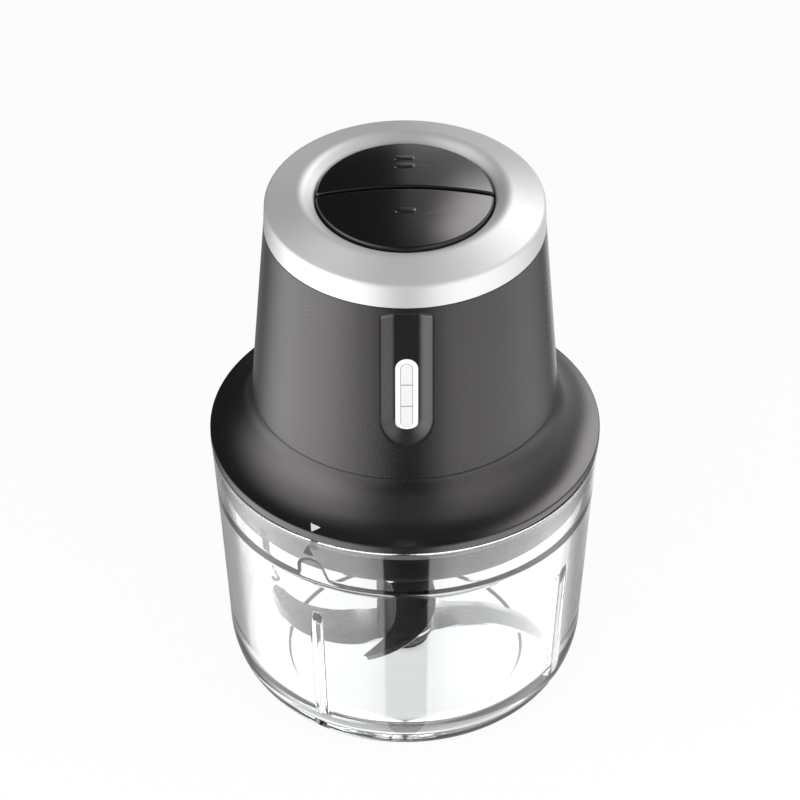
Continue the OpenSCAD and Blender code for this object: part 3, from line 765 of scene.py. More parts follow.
def solid(
    name: str, points: Sequence[Spot], faces: Sequence[Sequence[int]], crease: float = CREASE
) -> bpy.types.Object:
    """Makes an object from points and faces.

    Args:
        name: Name of the piece.
        points: Points in millimetres.
        faces: Point numbers of each face.
        crease: Angle in degrees past which an edge is sharp.

    Returns:
        The object, at the origin, with its faces pointing outwards.
    """
    mesh = bpy.data.meshes.new(name)
    mesh.from_pydata([tuple(c * MM for c in p) for p in points], [], faces)
    work = bmesh.new()
    work.from_mesh(mesh)
    bmesh.ops.remove_doubles(work, verts=work.verts, dist=MERGE)
    bmesh.ops.dissolve_degenerate(work, edges=work.edges, dist=0.1 * MERGE)
    bmesh.ops.recalc_face_normals(work, faces=work.faces)
    work.to_mesh(mesh)
    work.free()
    mesh.shade_smooth()
    mesh.set_sharp_from_angle(angle=math.radians(crease))
    item = bpy.data.objects.new(name, mesh)
    bpy.context.scene.collection.objects.link(item)
    return item


def loft(loops: Loops, ring: bool = False) -> Shape:
    """Joins closed loops of points, each with as many points as the last or just one.

    Args:
        loops: The loops in order; a loop of one point closes an end.
        ring: Whether the last loop joins the first.

    Returns:
        Points and faces.
    """
    points: list[Spot] = []
    rows: list[list[int]] = []
    for loop in loops:
        rows.append(list(range(len(points), len(points) + len(loop))))
        points += loop
    faces: list[tuple[int, ...]] = []
    for low, high in zip(rows, rows[1:] + rows[:1] if ring else rows[1:]):
        count = max(len(low), len(high))
        for i in range(count):
            k = (i + 1) % count
            if len(low) == 1:
                faces.append((low[0], high[k], high[i]))
            elif len(high) == 1:
                faces.append((low[i], low[k], high[0]))
            else:
                faces.append((low[i], low[k], high[k], high[i]))
    return points, faces


def turned(line: Profile, angles: Sequence[float], place: Placing | None = None) -> Loops:
    """Turns a line about the Z axis.

    Args:
        line: Radius and height of each row.
        angles: Angles of the columns in degrees.
        place: Gives the place of a point from its radius, height and angle, where it isn't plain.

    Returns:
        One loop of points for each row, and a single point for a row on the axis.
    """
    put = place or (lambda r, z, a: (*polar(r, a), z))
    return [[(0.0, 0.0, z)] if r < 1e-6 else [put(r, z, a) for a in angles] for r, z in line]


def at_level(outline: Profile, level: float) -> list[Spot]:
    """A loop of points over an outline in X and Y."""
    return [(x, y, level) for x, y in outline]


def pill(width: float, height: float, level: float, steps: int = 12) -> list[Spot]:
    """A loop round a pill that stands along Y.

    Args:
        width: Its width.
        height: Its height with both round ends.
        level: Where it lies along Z.
        steps: Segments in each end.

    Returns:
        The loop.
    """
    r, rise = width / 2, (height - width) / 2
    ends = arc((0, rise), (r, r), 0, 180, steps) + arc((0, -rise), (r, r), 180, 360, steps)
    return at_level(ends, level)


def lying_pill(width: float, height: float, level: float) -> list[Spot]:
    """A loop round a pill that lies along X."""
    return [(y, x, z) for x, y, z in pill(width, height, level)]


def moved(loops: Loops, matrix: Matrix) -> Loops:
    """Loops carried through a matrix."""
    return [[tuple(matrix @ Vector(p)) for p in loop] for loop in loops]


def joined(name: str, parts: Sequence[Shape], crease: float = CREASE) -> bpy.types.Object:
    """Makes one object from several sets of points and faces.

    Args:
        name: Name of the piece.
        parts: Points and faces of each part.
        crease: Angle in degrees past which an edge is sharp.

    Returns:
        The object.
    """
    points: list[Spot] = []
    faces: list[tuple[int, ...]] = []
    for spots, sides in parts:
        start = len(points)
        points += spots
        faces += [tuple(k + start for k in side) for side in sides]
    return solid(name, points, faces, crease)


def settle(
    item: bpy.types.Object, body: str, finish: Finish, nodes: Sequence[str] = ()
) -> None:
    """Dresses a piece, puts it on its body and reports it.

    Args:
        item: The piece.
        body: Name of the CAD body that it rides on.
        finish: Its finish.
        nodes: The CAD nodes that it stands for.
    """
    item.data.materials.clear()
    item.data.materials.append(finish.material())
    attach(item, body)
    if nodes:
        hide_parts(*nodes)
    LOG.info("%s rides on %s, %d faces", item.name, body, len(item.data.polygons))


def printed_triangle(
    name: str, corners: Sequence[Point], place: Placing, steps: int = 10
) -> bpy.types.Object:
    """A thin triangle of ink on a turned surface.

    Args:
        name: Name of the piece.
        corners: Angle in degrees and place along the profile of each corner.
        place: Gives a point from its angle, its place along the profile and its height off the surface.
        steps: Divisions of each side.

    Returns:
        The ink as a closed slab that stands just proud of the surface.
    """
    keys = [(i, j) for i in range(steps + 1) for j in range(steps + 1 - i)]
    index = {key: n for n, key in enumerate(keys)}
    points: list[Spot] = []
    for proud in INK_FACES:
        for i, j in keys:
            shares = (i / steps, j / steps, 1 - (i + j) / steps)
            a, along = (sum(s * c[k] for s, c in zip(shares, corners)) for k in (0, 1))
            points.append(place(a, along, proud))
    faces: list[tuple[int, ...]] = []
    for i, j in keys:
        if i + j < steps:
            faces.append((index[i, j], index[i + 1, j], index[i, j + 1]))
        if i + j < steps - 1:
            faces.append((index[i + 1, j], index[i + 1, j + 1], index[i, j + 1]))
    faces += [tuple(k + len(keys) for k in reversed(face)) for face in faces]
    edge = [index[i, 0] for i in range(steps)] + [index[steps - i, i] for i in range(steps)]
    edge += [index[0, steps - i] for i in range(steps)]
    faces += [(a, b, b + len(keys), a + len(keys)) for a, b in zip(edge, edge[1:] + edge[:1])]
    return solid(name, points, faces)


def smooth_rise(value: float, low: float, high: float) -> float:
    """A smooth rise from 0 at low to 1 at high."""
    t = min(1.0, max(0.0, (value - low) / (high - low)))
    return t * t * (3 - 2 * t)


def soft_min(first: float, second: float, blend: float) -> float:
    """The lesser of two numbers, with the change between them rounded."""
    near = max(blend - abs(first - second), 0.0) / blend
    return min(first, second) - near * near * blend / 4


@dataclass
class Bowl:
    """The glass bowl with its ledge, locating keys and ribs, and its printed mark."""

    height: float = 104.0
    mouth_r: float = 69.7
    mouth_in: float = 66.0
    lip: float = 1.5
    waist_r: float = 67.3
    waist_z: float = 67.0
    body_r: float = 64.7
    curve_z: float = 23.0
    foot_r: float = 50.0
    foot_rim: float = 6.0
    recess: float = 1.5
    wall: float = 5.2
    band_r: float = 65.2
    ledge_z: float = 82.5
    floor: float = 7.5
    floor_bend: Point = (13.0, 15.0)
    boss_r: float = 9.0
    boss_z: float = 10.5
    pin_r: float = 3.02
    pin_seat: float = 3.6
    key_r: float = 63.3
    key_top: float = 92.0
    key_half: float = 5.5
    key_ramp: float = 9.5
    key_foot: Point = (5.18, 85.13)
    key_toe: Point = (4.6, 4.0)
    key_reach: float = 12.0
    keys: tuple[float, ...] = (-120.0, 60.0)
    ribs: int = 4
    rib_w: float = 3.3
    rib_h: float = 2.2
    rib_top: float = 66.0
    rib_fade: float = 7.0
    rib_ease: Point = (0.6, 0.7)
    row_step: float = 2.5
    mark: tuple[Point, ...] = ((-120.0, 100.5), (-121.75, 95.8), (-118.25, 95.8))

    def wall_out(self, z: float) -> float:
        """Outer radius of the straight wall.

        Args:
            z: The height.

        Returns:
            The radius there.
        """
        if z > self.waist_z:
            share = (z - self.waist_z) / (self.height - self.waist_z)
            return self.waist_r + (self.mouth_r - self.waist_r) * share
        share = (z - self.curve_z) / (self.waist_z - self.curve_z)
        return self.body_r + (self.waist_r - self.body_r) * share

    def on_wall(self, a: float, z: float, proud: float) -> Spot:
        """A point over the upper wall, by angle, height and distance off the glass."""
        share = (z - self.waist_z) / (self.height - self.lip - self.waist_z)
        return *polar(self.waist_r + (self.mouth_r - self.waist_r) * share + proud, a), z

    def outer_line(self) -> Profile:
        """The profile from the middle of the foot up to the rim.

        Returns:
            Radius and height of each point.
        """
        base, rim = self.foot_r - self.foot_rim, self.height - self.lip
        line = eased(
            [
                (0, self.recess, 0),
                (base - self.recess, self.recess, 1.2),
                (base, 0, 1.2),
                (self.foot_r - 1, 0, 0),
            ]
        )
        line += arc((self.foot_r, self.curve_z), (self.body_r - self.foot_r, self.curve_z), -90, 0, 30)
        line += [(self.waist_r, self.waist_z)]
        line += arc((self.mouth_r - self.lip, rim), (self.lip, self.lip), 0, 90, 8)
        line += arc((self.mouth_in + self.lip, rim), (self.lip, self.lip), 90, 180, 8)
        return spaced(line, self.row_step)

    def inner_line(self) -> Profile:
        """The profile from the rim down the inside to the seat of the pin.

        Returns:
            Radius and height of each point.
        """
        inside, waist = self.body_r - self.wall, self.waist_r - self.wall
        over, below = self.over_keys(), self.ledge_z - 2.5
        top = [(self.mouth_in - 0.02, self.height - self.lip - 0.5), (self.mouth_in - 0.34, over)]
        band = [(self.mouth_in - 0.35, over - 0.2), (self.band_r + 0.02, self.ledge_z + 2.4)]
        ledge = eased(
            [
                (self.band_r + 0.01, self.ledge_z + 2.3, 0),
                (self.band_r, self.ledge_z + 1.9, 0.8),
                (self.wall_out(self.ledge_z) - self.wall + 0.4, self.ledge_z - 0.3, 0.8),
                (self.wall_out(below) - self.wall, below, 0),
            ]
        )
        upper = [(self.wall_out(below - 1) - self.wall, below - 1), (waist, self.waist_z)]
        lower = [(waist - 0.05, self.waist_z - 0.8), (inside, self.curve_z)]
        width, height = self.floor_bend
        curve = arc((inside - width, self.floor + height), self.floor_bend, 0, -90, 24)
        boss = eased(
            [
                (inside - width - 1, self.floor, 0),
                (self.boss_r + 2.5, self.floor, 1.5),
                (self.boss_r, self.floor + 1.2, 0.8),
                (self.boss_r - 1, self.boss_z, 0.7),
                (self.pin_r, self.boss_z, 0.3),
                (self.pin_r, self.pin_seat, 0),
                (0, self.pin_seat, 0),
            ]
        )
        mouth = spaced(top, self.row_step) + spaced(band, 0.5)
        wall = spaced(upper, self.row_step) + spaced(lower, 1.2)
        return mouth + ledge + wall + curve + boss

    def over_keys(self) -> float:
        """A height just over the keys, where the wall is plain again."""
        return self.key_top + 2

    def key_height(self, s: float) -> float:
        """Height of a key's outline, which is steep on one side and a ramp on the other.

        Args:
            s: Distance along the wall from the key's middle.

        Returns:
            The height of its edge there.
        """
        mid = self.key_top - self.key_half
        if s <= -self.key_half or s >= self.key_ramp:
            return self.ledge_z - 0.5
        if s < 0.5 * self.key_half:
            return mid + math.sqrt(self.key_half**2 - s * s)
        knee, foot = (0.5 * self.key_half, mid + 0.866 * self.key_half), self.key_foot
        if s < foot[0]:
            return knee[1] + (foot[1] - knee[1]) * (s - knee[0]) / (foot[0] - knee[0])
        width, height = self.key_toe
        bow = math.sqrt(max(0.0, 1 - ((s - self.key_ramp) / width) ** 2))
        return self.ledge_z + height - height * bow

    def place(self, r: float, z: float, a: float) -> Spot:
        """Sets the wall of the mouth inwards where a key stands.

        Args:
            r: Radius of the plain turned point.
            z: Its height.
            a: Its angle in degrees.

        Returns:
            Where the point stands.
        """
        at_height = self.ledge_z - 0.2 < z < self.over_keys()
        on_face = self.key_r < r < self.mouth_in + 0.01
        for bearing in self.keys if at_height and on_face else ():
            s = self.key_r * math.sin(math.radians(a - bearing))
            if apart(a, bearing) < self.key_reach:
                full = smooth_rise(self.key_height(s) - z, -0.6, 1.1)
                full *= smooth_rise(s, -self.key_half - 0.6, -self.key_half + 0.9)
                r -= full * (r - self.key_r)
        return (*polar(r, a), z)

    def rib_tree(self) -> ShapeTree:
        """A tree that raises ribs on the inner wall, evenly spaced round the axis.

        Returns:
            The tree, which takes the bowl's mesh.
        """
        names = ("Bearing", "Width", "Height", "Top", "Wall", "Foot", "Lean")
        kinds = dict.fromkeys(names, SocketKind.NUMBER)
        tree = ShapeTree("wall_ribs", {"Count": SocketKind.COUNT, **kinds})
        axes = tree.add("ShaderNodeSeparateXYZ", inputs={0: tree.add("GeometryNodeInputPosition")})
        x, y, z = axes, axes.out(1), axes.out(2)
        step = 2 * math.pi / tree.size("Count")
        bearing = tree.maths("ARCTAN2", y, x) - tree.size("Bearing")
        off = bearing - step * tree.maths("ROUND", bearing / step)
        radius = tree.maths("SQRT", x * x + y * y)
        across = tree.maths("ABSOLUTE", tree.maths("SINE", off)) * radius
        half = tree.size("Width") * 0.5
        outside, within = (ease * MM for ease in self.rib_ease)
        side = tree.eased_step(across, half + outside, half - within)
        end = tree.eased_step(z, tree.size("Top"), tree.size("Top") - self.rib_fade * MM)
        inner = tree.add("GeometryNodeInputNamedAttribute", {"data_type": "FLOAT"}, {"Name": "inner"})
        above = tree.maths("MAXIMUM", z - tree.size("Foot"), 0.0)
        crest = tree.size("Wall") + tree.size("Lean") * above - tree.size("Height")
        rise = tree.maths("MAXIMUM", radius - crest, 0.0) * side * end * inner
        share = (0.0 - rise) / radius
        offset = tree.add("ShaderNodeCombineXYZ", inputs={0: x * share, 1: y * share})
        tree.close(
            tree.add(
                "GeometryNodeSetPosition", inputs={"Geometry": tree.size("Geometry"), "Offset": offset}
            )
        )
        return tree

    def build(self) -> None:
        """Builds the bowl and its mark."""
        outer, inner = self.outer_line(), self.inner_line()
        spans = [(k, 11.0, 60) for k in self.keys] + [(k + 90, 2.6, 22) for k in self.keys]
        angles = round_angles(180, *spans)
        item = solid("bowl_glass", *loft(turned(outer + inner, angles, self.place)), crease=60)
        flags = [0.0] * len(item.data.vertices)
        for vertex in item.data.vertices:
            r, z = math.hypot(*vertex.co.xy) / MM, vertex.co.z / MM
            wall = self.wall_out(max(z, self.curve_z)) - 0.4 * self.wall
            flags[vertex.index] = 1.0 if r < wall and z > self.floor - 0.5 else 0.0
        item.data.attributes.new("inner", "FLOAT", "POINT").data.foreach_set("value", flags)
        self.rib_tree().run(
            item,
            {
                "Count": self.ribs,
                "Bearing": math.radians(self.keys[0]),
                "Width": self.rib_w * MM,
                "Height": self.rib_h * MM,
                "Top": self.rib_top * MM,
                "Wall": (self.body_r - self.wall) * MM,
                "Foot": self.curve_z * MM,
                "Lean": (self.waist_r - self.body_r) / (self.waist_z - self.curve_z),
                "Finish": Finish.GLASS.material(),
            },
        )
        settle(item, "bowl", Finish.GLASS, ["glass_bowl"])
        item = printed_triangle("bowl_mark", self.mark, self.on_wall)
        settle(item, "bowl", Finish.DARK_MARK)


@dataclass(frozen=True)
class WingPair:
    """Two opposite wings of one plate.

    z is the plate's underside, reach the distance of the tips from the axis, width the width at the
    root, bearing the direction of the first root and pitch the tilt about a wing's length, in degrees.
    """

    node: str
    z: float
    reach: float
    width: float
    bearing: float
    pitch: float


@dataclass
class BladeSet:
    """The hub column that turns on the pin, with its four ground wings."""

    hub_z: float = 10.9
    hub_r: float = 7.6
    sleeve_r: float = 10.4
    lower: WingPair = WingPair("lower_blade", 13.5, 52.0, 17.0, 13.0, -7.0)
    upper: WingPair = WingPair("upper_blade", 40.7, 49.0, 15.0, 103.0, 9.0)
    top: float = 86.1
    bore_r: float = 4.82
    bore_top: float = 46.0
    socket_z: float = 75.6
    socket_r: float = 5.8
    socket_half: float = 2.8
    socket_play: float = 16.0
    steel: float = 1.2
    edge: float = 0.14
    sweep: float = 30.0
    toe: float = 26.0
    taper: Spot = (0.96, 2.2, 0.6)
    ground_from: float = 0.42
    grind_r: Point = (13.0, 18.0)

    def place(self, r: float, z: float, a: float) -> Spot:
        """Gives the drive socket its bow-tie outline.

        Args:
            r: Radius of the plain turned point.
            z: Its height.
            a: Its angle in degrees.

        Returns:
            Where the point stands.
        """
        if z > self.socket_z - 0.01 and abs(r - self.socket_r) < 0.01:
            turns = (-self.socket_play, 0, self.socket_play)
            slots = (abs(math.sin(math.radians(a - turn))) for turn in turns)
            r = min(r, max(self.socket_half / max(s, 1e-3) for s in slots))
        return (*polar(r, a), z)

    def hub(self) -> None:
        """Builds the hub, the spacer and the upper sleeve."""
        angles = round_angles(120)
        hub = eased(
            [
                (0, self.bore_top, 0),
                (self.bore_r, self.bore_top, 0),
                (self.bore_r, self.hub_z, 0.3),
                (self.sleeve_r, self.hub_z, 0.9),
                (self.sleeve_r, self.lower.z, 0.3),
                (self.hub_r, self.lower.z, 0),
                (self.hub_r, self.top, 0.7),
                (self.socket_r, self.top, 0),
                (self.socket_r, self.socket_z, 0),
                (0, self.socket_z, 0),
            ]
        )
        item = solid("hub_core", *loft(turned(hub, angles, self.place)))
        settle(item, "blade", Finish.HUB, ["blade_hub"])
        inner, low, high = self.hub_r + 0.02, self.lower.z + self.steel, self.upper.z
        spacer = [
            (inner, low, 0),
            (self.sleeve_r, low, 0.4),
            (self.sleeve_r, high, 0.4),
            (inner, high, 0),
            (inner, low + 1, 0),
        ]
        item = solid("hub_spacer", *loft(turned(eased(spacer)[:-1], angles), ring=True))
        settle(item, "blade", Finish.HUB, ["blade_spacer"])
        low, neck = self.upper.z + self.steel, self.hub_r + 1.6
        sleeve = [
            (inner, low, 0),
            (self.sleeve_r, low, 0.4),
            (self.sleeve_r, low + 10, 3.0),
            (neck, self.top - 4, 1.5),
            (neck, self.top - 0.8, 0.5),
            (inner, self.top - 0.8, 0),
            (inner, low + 1, 0),
        ]
        item = solid("hub_collar", *loft(turned(eased(sleeve)[:-1], angles), ring=True))
        settle(item, "blade", Finish.HUB, ["hub_sleeve"])

    def wing(self, pair: WingPair, bearing: float) -> Shape:
        """One swept wing, flat at the root, pitched further out and ground to an edge in front.

        Args:
            pair: The pair that it belongs to.
            bearing: Direction of its root in degrees.

        Returns:
            Points and faces.
        """
        root, middle = self.hub_r + 1, pair.z + self.steel / 2
        thick = 0.48 * self.steel
        slope = math.tan(math.radians(pair.pitch))
        loss, start, end = self.taper
        across = [-1.0, -0.94, -0.5, 0.0, 0.36, 0.42, 0.7, 0.98, 1.0]
        loops = []
        for t in spread(0.0, 1.0, 30):
            along = root + (pair.reach - root) * t
            mid = Vector(polar(along, -self.sweep * t * t))
            half = pair.width / 2 * (1 - loss * t**start) ** end
            side = Vector(polar(1, 90 - self.sweep * t * t - self.toe * t))
            tilt = slope * smooth_rise(along, self.sleeve_r + 0.2, self.sleeve_r + 9)
            upper, lower = [], []
            for s in across:
                x, y = mid + side * half * s
                share = max(0.0, (s - self.ground_from) / (1 - self.ground_from))
                ground = share * smooth_rise(along, *self.grind_r)
                top = thick - ground * (2 * thick - self.edge)
                upper.append((x, y, middle + y * tilt + top))
                lower.append((x, y, middle + y * tilt - thick))
            loops.append(upper + lower[::-1])
        ends = [[tuple(sum(c) / len(loop) for c in zip(*loop))] for loop in (loops[0], loops[-1])]
        turn = Matrix.Rotation(math.radians(bearing), 3, "Z")
        return loft(moved([ends[0], *loops, ends[1]], turn))

    def plate(self, pair: WingPair) -> None:
        """Builds a pair of wings and the ring between them, and stands it for its node.

        Args:
            pair: The pair's node and sizes.
        """
        inner, top = self.hub_r + 0.02, pair.z + self.steel
        ring = [(inner, pair.z), (self.sleeve_r, pair.z), (self.sleeve_r, top), (inner, top)]
        parts = [loft(turned(ring, round_angles(96)), ring=True)]
        parts += [self.wing(pair, pair.bearing + a) for a in (0, 180)]
        item = joined(pair.node + "_ground", parts, 24)
        settle(item, "blade", Finish.STEEL, [pair.node])

    def build(self) -> None:
        """Builds the whole turning set."""
        self.hub()
        self.plate(self.lower)
        self.plate(self.upper)


@dataclass
class Tub:
    """The lower tub of the head with its collar and key notches, and the seal round it."""

    low: float = 87.3
    collar_r: float = 64.3
    flange_r: float = 66.8
    rim_z: float = RIM_Z
    top: float = SHOULDER_Z
    wall: float = 2.6
    groove_r: float = 63.1
    seal_z: float = 98.7
    seal_h: float = 2.4
    seal_r: float = 65.55
    gap: float = 0.3
    notch_r: float = 62.6
    notch_top: float = 93.2
    notch: tuple[float, float] = (-141.18, -109.99)
    hole_r: float = 7.5
    bore_r: float = 8.52
    boss_r: float = 11.5
    boss_z: float = 97.3
    seat_z: float = 89.3

    def in_notch(self, a: float) -> bool:
        """Whether an angle in degrees lies in one of the two notches."""
        width = self.notch[1] - self.notch[0]
        return any(0 < (a - self.notch[0] - turn) % 360 < width for turn in (0, 180))

    def place(self, r: float, z: float, a: float) -> Spot:
        """Cuts the notches for the bowl's keys.

        Args:
            r: Radius of the plain turned point.
            z: Its height.
            a: Its angle in degrees.

        Returns:
            Where the point stands.
        """
        if z < self.notch_top and r > self.notch_r and self.in_notch(a):
            r = self.notch_r
        return (*polar(r, a), z)

    def build(self) -> None:
        """Builds the tub and the seal."""
        groove = (self.seal_z - self.gap, self.seal_z + self.seal_h + self.gap)
        inside = self.collar_r - self.wall
        line = eased(
            [
                (self.hole_r, self.low, 0),
                (self.notch_r - 2.6, self.low, 0),
                (self.collar_r, self.low, 2.2),
                (self.collar_r, self.notch_top - 0.04, 0),
                (self.collar_r, self.notch_top + 0.04, 0),
                (self.collar_r, groove[0], 0.25),
                (self.groove_r, groove[0], 0),
                (self.groove_r, groove[1], 0),
                (self.collar_r, groove[1], 0.25),
                (self.collar_r, self.rim_z, 0.3),
                (self.flange_r, self.rim_z, 0.3),
                (self.flange_r, self.top, 0.3),
                (inside, self.top, 0.3),
                (inside, self.notch_top + 2, 0),
                (self.notch_r - 2.2, self.notch_top + 2, 0.3),
                (self.notch_r - 2.2, self.low + self.wall, 1.2),
                (self.boss_r, self.low + self.wall, 0.6),
                (self.boss_r, self.boss_z, 0.4),
                (self.bore_r, self.boss_z, 0.2),
                (self.bore_r, self.seat_z, 0),
                (self.hole_r, self.seat_z, 0),
                (self.hole_r, self.low + 0.5, 0),
            ]
        )
        edges = [e + turn for e in self.notch for turn in (0, 180)]
        angles = round_angles(200, *[(e, 0.04, 1) for e in edges])
        item = solid("tub_collar", *loft(turned(line[:-1], angles, self.place), ring=True))
        settle(item, "head", Finish.COLLAR, ["base_tub"])
        back, low, high = self.groove_r + self.gap, self.seal_z, self.seal_z + self.seal_h
        lips = [
            (back, low, 0.2),
            (self.collar_r + 0.2, low, 0.2),
            (self.seal_r, low + 0.5, 0.25),
            (self.collar_r + 0.5, low + 1.1, 0.3),
            (self.seal_r, low + 1.7, 0.25),
            (self.collar_r + 0.2, high, 0.2),
            (back, high, 0),
        ]
        rows = turned(eased(lips), round_angles(200))
        item = solid("seal_lips", *loft(rows, ring=True), crease=50)
        settle(item, "seal", Finish.SEAL, ["bowl_seal"])


@dataclass
class Skirt:
    """The flared skirt between bowl and housing, with its lock mark."""

    lid_r: float = 70.0
    rim_z: float = RIM_Z
    shoulder_z: float = SHOULDER_Z
    edge_r: float = 0.5
    seam_r: float = SEAM_R
    seam_z: float = SEAM_Z
    wall: float = 2.4
    land_r: float = 61.7
    lip_top: float = 130.2
    mark: tuple[Point, ...] = ((-120.4, 66.45), (-118.72, 69.5), (-116.87, 66.83))

    def hollow(self) -> float:
        """Radius of the hollow, which meets the round edge at one tangent."""
        width, height = self.lid_r - self.seam_r, self.seam_z - self.shoulder_z
        return (width * width + height * height) / (2 * width) - self.edge_r

    def on_hollow(self, a: float, r: float, proud: float) -> Spot:
        """A point over the hollow.

        Args:
            a: Its angle in degrees.
            r: Its radius.
            proud: Its height off the face.

        Returns:
            The point.
        """
        hollow = self.hollow()
        drop = math.sqrt(hollow**2 - (self.seam_r + hollow - r) ** 2)
        return *polar(r, a), self.seam_z - drop + proud

    def outer_curve(self) -> Profile:
        """The outer face from the seam out to the edge.

        Returns:
            Radius and height of each point.
        """
        hollow = self.hollow()
        turn = 180 - math.degrees(math.acos((self.lid_r - self.seam_r) / (hollow + self.edge_r) - 1))
        sweep = arc((self.seam_r + hollow, self.seam_z), (hollow, hollow), 180, 180 + turn, 30)
        edge = arc((self.lid_r - self.edge_r, self.shoulder_z), (self.edge_r,) * 2, turn, 0, 8)
        return sweep + edge[1:]

    def under_curve(self) -> Profile:
        """The under side from the land on the tub in to the seam.

        Returns:
            Radius and height of each point.
        """
        hollow, radius = self.hollow(), self.hollow() + self.wall
        turn = math.degrees(math.acos((self.seam_r + hollow - self.land_r) / radius))
        return arc((self.seam_r + hollow, self.seam_z), (radius, radius), 180 + turn, 188, 16)

    def build(self) -> None:
        """Builds the skirt."""
        lip = self.seam_r - self.wall - 0.02
        line = eased(
            [
                (lip - 2, self.lip_top, 0),
                (lip - 0.38, self.lip_top, 0.3),
                (lip, self.seam_z + 0.02, 0),
                (self.seam_r - 0.45, self.seam_z, 0.2),
                (self.seam_r, self.seam_z - 0.45, 0),
            ]
        )
        line += [p for p in self.outer_curve() if p[1] < self.seam_z - 0.5]
        line += eased(
            [
                (self.lid_r, self.shoulder_z - 0.2, 0),
                (self.lid_r, self.rim_z, 0.3),
                (self.lid_r - self.wall, self.rim_z, 0.2),
                (self.lid_r - self.wall, self.shoulder_z, 0),
                (self.land_r, self.shoulder_z, 0),
            ]
        )
        line += self.under_curve()
        line.append((lip - 2, self.seam_z - self.wall))
        item = solid("skirt_shell", *loft(turned(line, round_angles(220)), ring=True))
        settle(item, "head", Finish.SHELL, ["base_skirt"])
        item = printed_triangle("lock_mark", self.mark, self.on_hollow)
        settle(item, "head", Finish.PALE_MARK)


